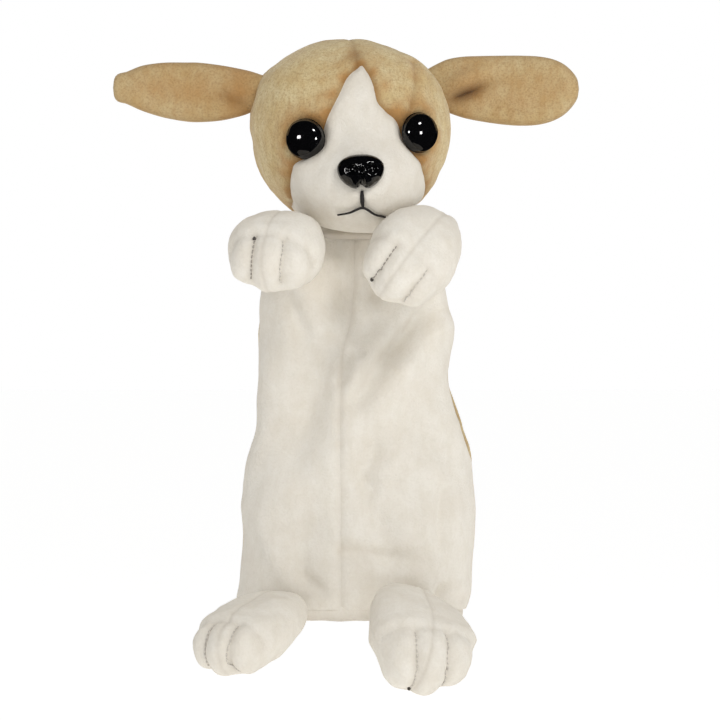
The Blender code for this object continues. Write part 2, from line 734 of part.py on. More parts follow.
head_pose = Matrix.Rotation(HEAD_TURN, 4, "Z") @ Matrix.Rotation(HEAD_ROLL, 4, "Y")
head_pivot = make_pivot("head_pivot", head_pose, neck_pivot)
head_skin = make_head_skin()
head_core = make_head_core()
for side, sign in SIDES.items():
    eye_place = (sign * EYE_SPACING / 2, EYE_HEIGHT)
    cap = head_skin[f"head_cap_{side}"]
    make_button(f"eye_{side}", eye_place, cap, head_core, EYE_RADIUS, EYE_RADIUS, EYE_DOME)
nose_place = (0, NOSE_HEIGHT)
face = head_skin["face_panel"]
make_button("nose", nose_place, face, head_core, NOSE_WIDTH / 2, NOSE_TALL / 2, NOSE_DEPTH)
make_mouth()

for side, sign in SIDES.items():
    make_ear(side, sign)
    make_arm(side, sign)
    make_leg(side, sign)
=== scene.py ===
import json
import math

import bmesh
import bpy
import numpy as np
from mathutils import Matrix, Vector
from mathutils.bvhtree import BVHTree
from mathutils.kdtree import KDTree


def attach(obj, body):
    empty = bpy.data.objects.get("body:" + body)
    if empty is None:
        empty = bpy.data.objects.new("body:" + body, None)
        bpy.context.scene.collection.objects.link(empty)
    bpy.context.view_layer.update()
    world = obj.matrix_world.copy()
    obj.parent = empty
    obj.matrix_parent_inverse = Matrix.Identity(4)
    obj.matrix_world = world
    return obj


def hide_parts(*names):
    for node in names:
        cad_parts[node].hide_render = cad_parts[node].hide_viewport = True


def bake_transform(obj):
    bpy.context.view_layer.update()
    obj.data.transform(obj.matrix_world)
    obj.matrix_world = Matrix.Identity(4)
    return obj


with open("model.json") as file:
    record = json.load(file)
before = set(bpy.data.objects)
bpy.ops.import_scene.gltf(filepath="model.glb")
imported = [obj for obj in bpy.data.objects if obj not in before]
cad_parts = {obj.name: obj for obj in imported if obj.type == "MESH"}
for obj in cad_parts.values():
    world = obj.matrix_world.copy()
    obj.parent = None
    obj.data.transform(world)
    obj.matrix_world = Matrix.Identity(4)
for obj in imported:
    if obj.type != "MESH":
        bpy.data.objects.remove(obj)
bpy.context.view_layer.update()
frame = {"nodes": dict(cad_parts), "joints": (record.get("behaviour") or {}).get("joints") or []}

mm = 0.001
joints = {joint["name"]: joint for joint in frame["joints"]}


def hexColour(code):
    # sRGB hex to the linear values that Blender's sockets take
    parts = [int(code[k:k + 2], 16) / 255 for k in (1, 3, 5)]
    return [p / 12.92 if p <= 0.04045 else ((p + 0.055) / 1.055) ** 2.4 for p in parts] + [1]


def addNode(tree, kind, inputs=None, **settings):
    node = tree.nodes.new(kind)
    for key, value in settings.items():
        setattr(node, key, value)
    for key, value in (inputs or {}).items():
        if isinstance(value, bpy.types.NodeSocket):
            tree.links.new(value, node.inputs[key])
        else:
            node.inputs[key].default_value = value
    return node


def smooth(low, high, value):
    share = np.clip((np.asarray(value, float) - low) / (high - low), 0, 1)
    return share * share * (3 - 2 * share)


def bump(value, centre, width):
    return np.exp(-((np.asarray(value, float) - centre) / width) ** 2)


def softNoise(points, size, seed, waves=14):
    # a smooth random field of about -1 to 1, whose lumps are about size across
    rng = np.random.default_rng(seed)
    heading = rng.normal(size=(waves, 3))
    heading /= np.linalg.norm(heading, axis=1)[:, None]
    pace = 2 * math.pi / size * rng.uniform(0.6, 1.5, waves)
    phase = rng.uniform(0, 2 * math.pi, waves)
    return np.cos(points @ (heading * pace[:, None]).T + phase).sum(1) / math.sqrt(waves * 1.6)


def smoothLine(points, spacing):
    # a Catmull-Rom line through points, resampled at about the spacing
    points = np.asarray(points, float)
    padded = np.vstack([2 * points[0] - points[1], points, 2 * points[-1] - points[-2]])
    line = []
    for k in range(1, len(padded) - 2):
        a, b, c, d = padded[k - 1:k + 3]
        steps = max(2, int(np.linalg.norm(c - b) / spacing) + 1)
        t = np.linspace(0, 1, steps, endpoint=False)[:, None]
        line.append(0.5 * (2 * b + (c - a) * t + (2 * a - 5 * b + 4 * c - d) * t**2
                           + (3 * b - a - 3 * c + d) * t**3))
    return np.vstack(line + [points[-1:]])


def follow(stations, at, column):
    # one column of the stations as a smooth curve over column 0
    table = np.asarray(stations, float)
    line = smoothLine(table[:, [0, column]], 0.5)
    return np.interp(at, line[:, 0], line[:, 1])


def near(points, line):
    # distance from each point to the nearest sample of the line, and which sample it is
    tree = KDTree(len(line))
    for k, place in enumerate(line):
        tree.insert(place, k)
    tree.balance()
    found = [tree.find(p) for p in points]
    return np.array([f[2] for f in found]), np.array([f[1] for f in found])


def linked(name, data):
    made = bpy.data.objects.new(name, data)
    bpy.context.scene.collection.objects.link(made)
    return made


def meshPiece(name, points, faces, place=Matrix.Identity(4), material=None, shades=None):
    # points in millimetres in their own place, made into a smooth mesh in metres in the row frame
    turn = np.array(place, float)
    world = np.asarray(points) * mm @ turn[:3, :3].T + turn[:3, 3]
    mesh = bpy.data.meshes.new(name)
    mesh.from_pydata(world.tolist(), [], [list(map(int, face)) for face in faces])
    mesh.update()
    mesh.shade_smooth()
    for label, values in (shades or {}).items():
        layer = mesh.attributes.new(label, "FLOAT", "POINT")
        layer.data.foreach_set("value", np.asarray(values, np.float32))
    if material:
        mesh.materials.append(material)
    # open edges stay sharp, so that a seam's lip doesn't shade the cloth beside it
    count = np.zeros(len(mesh.edges), int)
    edgeOfLoop = np.empty(len(mesh.loops), np.int32)
    mesh.loops.foreach_get("edge_index", edgeOfLoop)
    np.add.at(count, edgeOfLoop, 1)
    sharp = mesh.attributes.get("sharp_edge") or mesh.attributes.new("sharp_edge", "BOOLEAN", "EDGE")
    sharp.data.foreach_set("value", count == 1)
    return linked(name, mesh)


def pointsOf(mesh):
    found = np.empty(len(mesh.vertices) * 3)
    mesh.vertices.foreach_get("co", found)
    return found.reshape(-1, 3)


def facesOf(mesh):
    return [list(p.vertices) for p in mesh.polygons]


def normalsAt(points, faces):
    mesh = bpy.data.meshes.new("normals")
    mesh.from_pydata(points.tolist(), [], faces)
    mesh.update()
    found = np.empty(len(mesh.vertices) * 3)
    mesh.vertices.foreach_get("normal", found)
    bpy.data.meshes.remove(mesh)
    return found.reshape(-1, 3)


def gridFaces(rows, columns, wrap=False):
    last = columns if wrap else columns - 1
    return [[r * columns + c, r * columns + (c + 1) % columns,
             (r + 1) * columns + (c + 1) % columns, (r + 1) * columns + c]
            for r in range(rows - 1) for c in range(last)]


def roundBody(cuts):
    # directions and faces of a sphere made from an evenly divided cube
    bm = bmesh.new()
    bmesh.ops.create_cube(bm, size=2)
    bmesh.ops.subdivide_edges(bm, edges=bm.edges, cuts=cuts, use_grid_fill=True)
    corners = np.tan(np.array([v.co for v in bm.verts]) * math.pi / 4)
    faces = [[v.index for v in f.verts] for f in bm.faces]
    bm.free()
    return corners / np.linalg.norm(corners, axis=1)[:, None], faces


def thicken(piece, thickness):
    cloth = piece.modifiers.new("clothThickness", "SOLIDIFY")
    cloth.thickness = thickness * mm
    cloth.offset = -1
    cloth.use_quality_normals = True


def weld(piece, turnOut=False):
    # joins the points that lie on one another, and can turn every face outward
    bm = bmesh.new()
    bm.from_mesh(piece.data)
    bmesh.ops.remove_doubles(bm, verts=bm.verts, dist=0.02 * mm)
    if turnOut:
        bmesh.ops.recalc_face_normals(bm, faces=bm.faces)
    bm.to_mesh(piece.data)
    bm.free()


def cutAlong(points, faces, values):
    # cuts the faces where values change sign, so that a seam is a line of real edges
    bm = bmesh.new()
    made = [bm.verts.new(p) for p in points]
    for face in faces:
        bm.faces.new([made[k] for k in face])
    bm.verts.index_update()
    values = np.where(np.abs(values) < 1e-6, 1e-6, values)
    onSeam = []
    for edge in list(bm.edges):
        a, b = edge.verts
        if values[a.index] * values[b.index] < 0:
            share = values[a.index] / (values[a.index] - values[b.index])
            onSeam.append(bmesh.utils.edge_split(edge, a, min(0.92, max(0.08, share)))[1])
    bmesh.ops.connect_verts(bm, verts=onSeam)
    bm.verts.index_update()
    newPoints = np.array([v.co for v in bm.verts])
    newFaces = [[v.index for v in f.verts] for f in bm.faces]
    bm.free()
    return newPoints, newFaces


def faceMiddles(points, faces):
    return np.array([points[face].mean(0) for face in faces])


def seamSamples(points, faces, region):
    # points along every edge where two regions meet
    owner, samples = {}, []
    for face, part in zip(faces, region):
        for a, b in zip(face, face[1:] + face[:1]):
            key = (min(a, b), max(a, b))
            if owner.setdefault(key, part) != part:
                for t in (0, 0.25, 0.5, 0.75):
                    samples.append(points[key[0]] * (1 - t) + points[key[1]] * t)
    return np.array(samples)


def regionPiece(name, points, faces, region, wanted, place, material, shades):
    chosen = [face for face, part in zip(faces, region) if part == wanted]
    used = sorted({k for face in chosen for k in face})
    renumber = {k: i for i, k in enumerate(used)}
    return meshPiece(name, points[used], [[renumber[k] for k in face] for face in chosen],
                     place, material, {label: v[used] for label, v in shades.items()})


def stitchTube(name, line, radii, material, place=Matrix.Identity(4)):
    # thread as a curve with its own radius at each point
    curve = bpy.data.curves.new(name, "CURVE")
    curve.dimensions = "3D"
    curve.bevel_depth = mm
    curve.bevel_resolution = 3
    curve.use_fill_caps = True
    spline = curve.splines.new("POLY")
    spline.points.add(len(line) - 1)
    for knot, point, radius in zip(spline.points, line, radii):
        knot.co = (*(place @ (Vector(point) * mm)), 1)
        knot.radius = radius
    curve.materials.append(material)
    return linked(name, curve)


def newMaterial(name):
    # a material with its node tree, its shader, and the place in the object's own metres
    material = bpy.data.materials.new(name)
    material.use_nodes = True
    tree = material.node_tree
    place = addNode(tree, "ShaderNodeTexCoord").outputs["Object"]
    return material, tree, tree.nodes["Principled BSDF"], place


def mixed(tree, share, first, second):
    # Mix has one socket set for each data type, so its colours go in by their place
    keys = {0: share, 6: first, 7: second}
    return addNode(tree, "ShaderNodeMix", keys, data_type="RGBA").outputs[2]


def noiseMask(tree, place, size, detail, low, high, most):
    # soft spots about size millimetres across, from nothing to most
    noise = addNode(tree, "ShaderNodeTexNoise",
                    {"Vector": place, "Scale": 1 / (size * mm), "Detail": detail, "Roughness": 0.6})
    mask = addNode(tree, "ShaderNodeMapRange",
                   {"Value": noise.outputs["Fac"], "From Min": low, "From Max": high, "To Max": most})
    return noise.outputs["Fac"], mask.outputs[0]


plushLooks = {
    # colours, with the size of their spots in millimetres and how strong they get; the seam colour is partly
    # the darker pile of the seams and partly painted shade in grooves, creases and hollows
    "white": {"base": "#E3DED4", "worn": ("#D9D1C4", 16, 0.5), "nap": ("#D2CABA", 4.5, 0.3),
              "clump": ("#CAC2B2", 1.0, 0.18), "warm": "#CDBEA6", "seamAndShade": "#A99D8D",
              "pileDepth": 0.3, "sheen": 0.2},
    "tan": {"base": "#D1C197", "worn": ("#C4AC7A", 13, 0.7), "nap": ("#B2905F", 3.2, 0.45),
            "clump": ("#94734A", 0.9, 0.5), "warm": "#B28046", "seamAndShade": "#7E5A30",
            "pileDepth": 0.4, "sheen": 0.3},
}


def plushMaterial(name, look):
    # short-pile polyester minky: matt, a soft pale edge, brushed patches where the nap turns
    material, tree, shader, place = newMaterial(name)
    # the nap lies down the cloth, so its streaks are longer that way
    brushed = addNode(tree, "ShaderNodeMapping", {"Vector": place, "Scale": (1, 1, 0.45)}).outputs[0]
    patches = noiseMask(tree, place, look["worn"][1], 3.0, 0.4, 0.66, look["worn"][2])[1]
    nap, streaks = noiseMask(tree, brushed, look["nap"][1], 4.0, 0.42, 0.68, look["nap"][2])
    # the real fibres are finer than a tenth of a millimetre, so their clumps are drawn instead
    pile, clumps = noiseMask(tree, place, look["clump"][1], 2.0, 0.45, 0.7, look["clump"][2])
    colour = mixed(tree, patches, hexColour(look["base"]), hexColour(look["worn"][0]))
    colour = mixed(tree, streaks, colour, hexColour(look["nap"][0]))
    # the warm tint, then the seam colour, go in by their attributes: the seam colour is partly real darker
    # pile and partly painted shade
    for label in ("warm", "seamAndShade"):
        share = addNode(tree, "ShaderNodeAttribute", attribute_name=f"{label}Near").outputs["Fac"]
        colour = mixed(tree, share, colour, hexColour(look[label]))
    colour = mixed(tree, clumps, colour, hexColour(look["clump"][0]))
    tree.links.new(colour, shader.inputs["Base Color"])
    both = addNode(tree, "ShaderNodeMath", {0: nap, 1: pile}, operation="ADD")
    raised = addNode(tree, "ShaderNodeBump",
                     {"Height": both.outputs[0], "Distance": look["pileDepth"] * mm, "Strength": 0.9})
    tree.links.new(raised.outputs[0], shader.inputs["Normal"])
    shader.inputs["Roughness"].default_value = 0.92
    shader.inputs["Specular IOR Level"].default_value = 0.15
    shader.inputs["Sheen Weight"].default_value = look["sheen"]
    shader.inputs["Sheen Roughness"].default_value = 0.45
    shader.inputs["Sheen Tint"].default_value = hexColour("#FFF6E6")
    return material


def moulded(name, colours, roughness, grain):
    # moulded plastic: deep gloss with a faint waviness from the mould
    material, tree, shader, place = newMaterial(name)
    cloud = addNode(tree, "ShaderNodeTexNoise", {"Vector": place, "Scale": 1 / (grain * mm), "Detail": 2.0})
    tone = mixed(tree, cloud.outputs["Fac"], hexColour(colours[0]), hexColour(colours[1]))
    tree.links.new(tone, shader.inputs["Base Color"])
    rough = addNode(tree, "ShaderNodeMapRange",
                    {"Value": cloud.outputs["Fac"], "To Min": roughness * 0.7, "To Max": roughness * 1.3})
    tree.links.new(rough.outputs[0], shader.inputs["Roughness"])
    shader.inputs["IOR"].default_value = 1.49
    return material


def threadMaterial(name, colours, twist):
    # twisted polyester thread: dull, with fine slanting plies
    material, tree, shader, place = newMaterial(name)
    turned = addNode(tree, "ShaderNodeMapping", {"Vector": place, "Rotation": (0, 0.7, 0.6)})
    plies = addNode(tree, "ShaderNodeTexWave", {"Vector": turned.outputs[0], "Scale": 0.3 / (twist * mm)})
    tone = mixed(tree, plies.outputs["Fac"], hexColour(colours[0]), hexColour(colours[1]))
    tree.links.new(tone, shader.inputs["Base Color"])
    raised = addNode(tree, "ShaderNodeBump", {"Height": plies.outputs["Fac"], "Distance": 0.1 * mm})
    tree.links.new(raised.outputs[0], shader.inputs["Normal"])
    shader.inputs["Roughness"].default_value = 0.75
    return material


def liningMaterial(name, colours, threads):
    # plain-woven polyester lining: thin, slightly shiny, an even grid of threads
    material, tree, shader, place = newMaterial(name)
    warp = addNode(tree, "ShaderNodeTexWave", {"Vector": place, "Scale": 0.3 / (threads * mm)},
                   bands_direction="X")
    weft = addNode(tree, "ShaderNodeTexWave", {"Vector": place, "Scale": 0.3 / (threads * mm)},
                   bands_direction="Z")
    weave = addNode(tree, "ShaderNodeMath", {0: warp.outputs["Fac"], 1: weft.outputs["Fac"]},
                    operation="MULTIPLY")
    tone = mixed(tree, weave.outputs[0], hexColour(colours[0]), hexColour(colours[1]))
    tree.links.new(tone, shader.inputs["Base Color"])
    raised = addNode(tree, "ShaderNodeBump", {"Height": weave.outputs[0], "Distance": 0.15 * mm})
    tree.links.new(raised.outputs[0], shader.inputs["Normal"])
    shader.inputs["Roughness"].default_value = 0.6
    shader.inputs["Sheen Weight"].default_value = 0.2
    return material


whitePlush = plushMaterial("whiteMinkyPlush", plushLooks["white"])
tanPlush = plushMaterial("tanMinkyPlush", plushLooks["tan"])
blackAcrylic = moulded("glossyBlackAcrylic", ("#050506", "#0A0A0C"), 0.06, 6)
clearNylon = moulded("clearNylon", ("#D9D8D2", "#C8C7C0"), 0.3, 3)
blackThread = threadMaterial("blackPolyesterThread", ("#15100F", "#2A2322"), 0.5)
greyThread = threadMaterial("greyPolyesterThread", ("#8A837A", "#B3ACA2"), 0.5)
paleThread = threadMaterial("palePolyesterThread", ("#B9B3A9", "#D6D1C8"), 0.5)
darkThread = threadMaterial("darkGreyPolyesterThread", ("#3B3631", "#5A534C"), 0.5)
liningCloth = liningMaterial("wovenPolyesterLining", ("#D6D1C6", "#EAE6DD"), 0.6)
print("materials made")


def evenSkin(name, points, faces, voxel):
    # a closed shape in millimetres as an even skin of small faces, rounded a little, as stuffing does
    body = meshPiece(name, points, faces)
    remesh = body.modifiers.new("voxels", "REMESH")
    remesh.mode = "VOXEL"
    remesh.voxel_size = voxel * mm
    fine = body.modifiers.new("fine", "SUBSURF")
    fine.levels = fine.render_levels = 2
    mesh = body.evaluated_get(bpy.context.evaluated_depsgraph_get()).data
    madePoints, madeFaces = pointsOf(mesh) / mm, facesOf(mesh)
    bpy.data.objects.remove(body)
    return madePoints, madeFaces


headLook = {
    # millimetres from the nodding joint, in the head's own directions
    "skullCentre": (0, -2, 40), "skullRadii": (45.5, 40, 41.5), "squareness": 2.4,
    "muzzleCentre": (-0.6, -28, 16), "muzzleRadii": (30.5, 28, 24.2), "blend": 8,
    "crownNarrow": 0.16, "lean": (-1.0, -1.2), "backSeam": 8, "faceEnd": -3,
    "blazeLeft": ((2.2, 68.2), (4.2, 65), (6.3, 59), (7.6, 51.5), (11.5, 47), (16.5, 42.2), (19.5, 36.5),
                  (23, 28.5), (26.8, 23), (29.3, 17), (29.6, 11), (26.5, 5), (23, -4), (20, -16)),
    "blazeRight": ((1.4, 68.2), (-1.5, 66.4), (-5.3, 62.7), (-9.6, 54.8), (-13.6, 47.8), (-16.8, 41),
                   (-21, 32), (-27, 27), (-31, 23.2), (-32.8, 17.5), (-32, 11), (-29, 5), (-26, -4),
                   (-23, -16)),
    "eyes": {"left": (26.0, 37.0), "right": (-24.8, 35.6)}, "eyeRadius": 9.2, "eyeDome": 6.5,
    "nose": (-1.5, 19.9), "noseHalf": (10.7, 7.6, 7.6),
    "mouthTop": (-1.2, 11.3), "mouthJunction": (-0.7, 3.6), "mouthEnds": ((-11.8, 0.6), (10, -0.6)),
    "dart": ((28.6, 68.3), (27.4, 58.5), (23.6, 48.5)),
}
headMove = joints["head_nod"]
xAxis = -Vector(headMove["axis"])
yAxis = Vector(joints["ear_right_flop"]["axis"])
zAxis = xAxis.cross(yAxis)
headPlace = Matrix.Translation(headMove["pos_m"]) @ Matrix((xAxis, yAxis, zAxis)).transposed().to_4x4()


def headReach(heading):
    # how far the head's surface is from the skull's middle: a skull and a muzzle, run together
    radii = np.array(headLook["skullRadii"])
    skull = (np.abs(heading / radii) ** headLook["squareness"]).sum(1) ** (-1 / headLook["squareness"])
    radii = np.array(headLook["muzzleRadii"])
    ahead = heading / radii
    centre = (np.array(headLook["muzzleCentre"]) - np.array(headLook["skullCentre"])) / radii
    a, b, c = (ahead * ahead).sum(1), ahead @ centre, centre @ centre - 1
    inside = b * b - a * c
    muzzle = np.where(inside > 0, (b + np.sqrt(np.maximum(inside, 0))) / a, 0)
    close = np.maximum(0, 1 - np.abs(skull - muzzle) / headLook["blend"])
    return np.maximum(skull, muzzle) + close**2 * headLook["blend"] / 4


def headPoint(heading):
    # the crown narrows to its top, and the whole head leans a little to one side
    points = np.array(headLook["skullCentre"]) + heading * headReach(heading)[:, None]
    x, y, z = points.T
    narrow = 1 - headLook["crownNarrow"] * smooth(66, 80, z)
    lean = headLook["lean"][0] + headLook["lean"][1] * smooth(55, 74, z)
    return np.stack([x * narrow + lean, y, z], 1)


def frontOfHead(x, z):
    # the place on the head's front at a width and a height, and the way it faces
    middle = np.array(headLook["skullCentre"], float)
    aside = np.array([x - middle[0], 0, z - middle[2]])
    away = aside / max(np.linalg.norm(aside), 1e-9)
    low, high = 0.0, math.pi / 2
    for _ in range(40):
        half = (low + high) / 2
        heading = away * math.sin(half) - np.array([0, math.cos(half), 0])
        reach = headPoint(heading[None])[0] - middle
        low, high = (half, high) if math.hypot(reach[0], reach[2]) < np.linalg.norm(aside) else (low, half)
    around = np.array([heading, heading + [0.02, 0, 0], heading + [0, 0, 0.02]])
    around /= np.linalg.norm(around, axis=1)[:, None]
    here, beside, above = headPoint(around)
    facing = np.cross(beside - here, above - here)
    return here, facing / np.linalg.norm(facing)


def outlineDistance(x, z, outline):
    # signed distance to a closed outline, negative inside it
    a, b = outline, np.roll(outline, -1, 0)
    p = np.stack([x, z], 1)[:, None, :]
    along = b - a
    share = np.clip(((p - a) * along).sum(2) / (along**2).sum(1), 0, 1)
    gap = np.linalg.norm(p - a - along * share[..., None], axis=2).min(1)
    crosses = (a[:, 1] > p[..., 1]) != (b[:, 1] > p[..., 1])
    slope = np.where(np.abs(along[:, 1]) < 1e-9, 1e-9, along[:, 1])
    inside = (crosses & (p[..., 0] < a[:, 0] + (p[..., 1] - a[:, 1]) * along[:, 0] / slope)).sum(1) % 2
    return np.where(inside == 1, -gap, gap)


blaze = np.vstack([smoothLine(headLook["blazeLeft"], 1.5), smoothLine(headLook["blazeRight"], 1.5)[::-1]])


def faceField(points):
    flat = outlineDistance(points[:, 0], points[:, 2], blaze)
    return np.maximum(flat, points[:, 1] - headLook["faceEnd"])


def eyeSpots():
    return {side: frontOfHead(*place) for side, place in headLook["eyes"].items()}


def buildHead():
    spots = eyeSpots()
    directions, faces = roundBody(24)
    points, faces = evenSkin("head", headPoint(directions) - directions * 0.6, faces, 4.5)
    points, faces = cutAlong(points, faces, faceField(points))
    points, faces = cutAlong(points, faces, points[:, 0])
    points, faces = cutAlong(points, faces, points[:, 1] - headLook["backSeam"])
    middles = faceMiddles(points, faces)
    region = np.where(faceField(middles) < 0, 0, np.where(middles[:, 1] > headLook["backSeam"], 3,
                                                         np.where(middles[:, 0] > 0, 1, 2)))
    normals = normalsAt(points, faces)
    seams = seamSamples(points, faces, region)
    crown = (np.abs(seams[:, 0]) < 0.3) & (seams[:, 1] < headLook["backSeam"] - 1) & (seams[:, 2] > 60)
    gap, _ = near(points, seams[~crown])
    crownGap, _ = near(points, seams[crown])
    lift = 0.7 * softNoise(points, 34, 3) + 0.22 * softNoise(points, 13, 4)
    lift += -1.0 * np.exp(-(gap / 1.5) ** 2) + 0.45 * bump(gap, 5, 3.5)
    lift += -0.5 * np.exp(-(crownGap / 1.2) ** 2)
    # the cloth gathers a little where it meets the seam
    lift += 0.22 * softNoise(points, 6, 5) * np.exp(-gap / 5)
    dart = np.array([frontOfHead(x, z)[0] for x, z in smoothLine(headLook["dart"], 0.8)])
    dartGap, _ = near(points, dart)
    lift += -1.3 * np.exp(-(dartGap / 1.7) ** 2) + 0.6 * bump(dartGap, 4.5, 2.8)
    for spot, facing in spots.values():
        away = points - spot
        out = np.linalg.norm(away - (away @ facing)[:, None] * facing, axis=1)
        front = (away @ facing > -16)
        lift += np.where(front, -2.4 * np.exp(-(out / 8.2) ** 4) + 0.9 * bump(out, 12.5, 2.8), 0)
    spot, facing = frontOfHead(*headLook["nose"])
    out = np.linalg.norm((points - spot) / [1.35, 1, 1], axis=1)
    lift += -1.6 * np.exp(-(out / 7) ** 4) + 0.5 * bump(out, 11, 3)
    # the mouth's stitches pull the muzzle in
    mouthGap, _ = near(points, mouthLines()[0])
    smileGap, _ = near(points, mouthLines()[1])
    lift += -1.1 * np.exp(-(mouthGap / 1.8) ** 2) - 0.9 * np.exp(-(smileGap / 1.6) ** 2)
    lift += 0.4 * bump(smileGap, 4.5, 2.5)
    points = points + normals * lift[:, None]
    # painted shade: darker along the seam grooves, the crown seam and the dart, and in the dents round the
    # eyes
    shade = 0.55 * np.exp(-(gap / 1.6) ** 2) + 0.18 * np.exp(-gap / 6)
    shade += 0.3 * np.exp(-(crownGap / 1.2) ** 2) + 0.55 * np.exp(-(dartGap / 1.4) ** 2)
    for spot, facing in spots.values():
        shade += 0.3 * np.exp(-(np.linalg.norm(points - spot, axis=1) / 12.5) ** 4)
    # the tan is warmer and deeper beside the seams, round the eyes and in the tuft over the blaze
    tuft = np.exp(-np.linalg.norm((points - frontOfHead(2, 73)[0]) / [4, 9, 5], axis=1) ** 2)
    warm = 0.75 * np.exp(-(gap / 7) ** 1.5) * smooth(12, 0, points[:, 1]) + 0.5 * tuft
    warm += 0.4 * np.exp(-(dartGap / 6) ** 2)
    for spot, facing in spots.values():
        warm += 0.7 * np.exp(-(np.linalg.norm(points - spot, axis=1) / 15) ** 4)
    warm *= 0.75 + 0.5 * softNoise(points, 9, 6)
    # the tuft over the blaze is darker too, and the face panel takes less of the painted shade
    shade = np.clip(0.8 * shade + 0.45 * tuft, 0, 0.7)
    white = shade * 0.4
    parts = (("facePanel", 0, whitePlush, "white_plush", ("face_panel", "head_stuffing")),
             ("headCapLeft", 1, tanPlush, "tan_plush", ("head_cap_left",)),
             ("headCapRight", 2, tanPlush, "tan_plush", ("head_cap_right",)),
             ("headBackPanel", 3, tanPlush, "tan_plush", ("head_back_panel",)))
    for name, part, material, slotName, nodes in parts:
        tone = {"seamAndShadeNear": white if part == 0 else shade,
                "warmNear": np.clip(warm * (0.15 if part == 0 else 1), 0, 0.85)}
        piece = regionPiece(name, points, faces, region, part, headPlace, material, tone)
        thicken(piece, 2)
        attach(piece, "head")
        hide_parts(*nodes)
    return points


def mouthLines():
    # the upright stitch, and the curved one as one line through their junction
    top, junction = headLook["mouthTop"], headLook["mouthJunction"]
    stem = (top, ((top[0] + junction[0]) / 2 - 0.2, 7.4), junction)
    stem = [frontOfHead(*p)[0] for p in smoothLine(stem, 0.7)]
    (leftX, leftZ), (rightX, rightZ) = headLook["mouthEnds"]
    arc = (headLook["mouthEnds"][0], ((leftX + junction[0]) / 2 - 0.4, leftZ + 0.9), junction,
           ((rightX + junction[0]) / 2 + 0.3, rightZ + 1.2), headLook["mouthEnds"][1])
    smile = [frontOfHead(*p)[0] for p in smoothLine(arc, 0.7)]
    return np.array(stem), np.array(smile)


def buildMouth():
    middle = np.array(headLook["skullCentre"])
    for name, line, node, widest in (("mouthStem", mouthLines()[0], "mouth_stem_stitch", 1.0),
                                     ("mouthSmile", mouthLines()[1], "mouth_smile_stitch", 0.6)):
        along = np.linspace(0, 1, len(line))
        away = line - middle
        away /= np.linalg.norm(away, axis=1)[:, None]
        if name == "mouthStem":
            radii = widest * (0.55 + 0.45 * np.sin(math.pi * along))
        else:
            radii = widest * (0.7 + 0.3 * bump(along, 0.5, 0.3))
        piece = stitchTube(name, line - away * 0.15, radii, blackThread, headPlace)
        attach(piece, "head")
        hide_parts(node)


def facingPlace(spot, facing):
    turn = Vector(facing).to_track_quat("Z", "Y").to_matrix().to_4x4()
    return headPlace @ Matrix.Translation(Vector(spot) * mm) @ turn


def buildEyes():
    # a domed safety eye: a high gloss cap over a thin flat rim
    radius, dome = headLook["eyeRadius"], headLook["eyeDome"]
    for side, (spot, facing) in eyeSpots().items():
        steps, around = 28, 72
        rise = np.linspace(0, math.pi / 2, steps)
        profile = [(radius * 0.97 * math.cos(t) ** 0.9, 0.9 + dome * math.sin(t)) for t in rise[::-1]]
        profile += [(radius, 0.75), (radius * 1.0, 0.2), (radius * 0.96, -0.2), (0.001, -0.4)]
        turn = np.linspace(0, 2 * math.pi, around, endpoint=False)
        points = np.array([(r * math.cos(t), r * math.sin(t), z) for r, z in profile for t in turn])
        faces = gridFaces(len(profile), around, wrap=True)
        piece = meshPiece(f"eye_{side}_dome", points, faces, facingPlace(spot + facing * 0.3, facing),
                          blackAcrylic)
        weld(piece, turnOut=True)
        piece.data.shade_smooth()
        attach(piece, "head")
        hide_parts(f"eye_{side}")


def buildNose():
    # a moulded dog's nose: broad top, two round nostrils, a groove to the notch below
    halfX, halfY, halfZ = headLook["noseHalf"]
    directions, faces = roundBody(44)
    x, y, z = directions.T
    size = (np.abs(x) ** 2.3 + np.abs(y) ** 2.3 + np.abs(z) ** 2.3) ** (-1 / 2.3)
    px, py, pz = x * size * halfX, y * size * halfY, z * size * halfZ
    px = px * (0.87 + 0.15 * smooth(-halfY, halfY * 0.5, py))
    front = smooth(-1, 2, pz)
    lift = np.zeros(len(px))
    for sign in (-1, 1):
        away = np.hypot(px - sign * 4.7, (py + 0.4) * 0.95)
        lift += front * (-2.4 * np.exp(-(away / 1.9) ** 4) + 0.5 * bump(away, 3.3, 0.9))
        side = np.hypot((px - sign * 6.6) * 0.9, py + 5.9)
        lift += front * -1.3 * np.exp(-(side / 0.9) ** 2)
    groove = np.exp(-(px / 0.75) ** 2) * smooth(1.5, -1.5, py) * front
    lift -= 1.7 * groove
    py = py + 1.5 * np.exp(-(px / 1.3) ** 2) * smooth(-4.5, -7.5, py)
    py = py - 0.4 * np.exp(-((np.abs(px) - 3.6) / 2) ** 2) * smooth(-4, -7, py)
    pz = pz + lift
    pz = np.where(pz < 0, pz * 0.5, pz)
    spot, facing = frontOfHead(*headLook["nose"])
    piece = meshPiece("nose_moulded", np.stack([px, py, pz], 1), faces,
                      facingPlace(spot + facing * 0.2, facing), blackAcrylic)
    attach(piece, "head")
    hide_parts("nose")


buildHead()
buildMouth()
buildEyes()
buildNose()
for name in ("eye_left_washer", "eye_right_washer", "nose_washer"):
    frame["nodes"][name].data.materials.clear()
    frame["nodes"][name].data.materials.append(clearNylon)
print("head made")


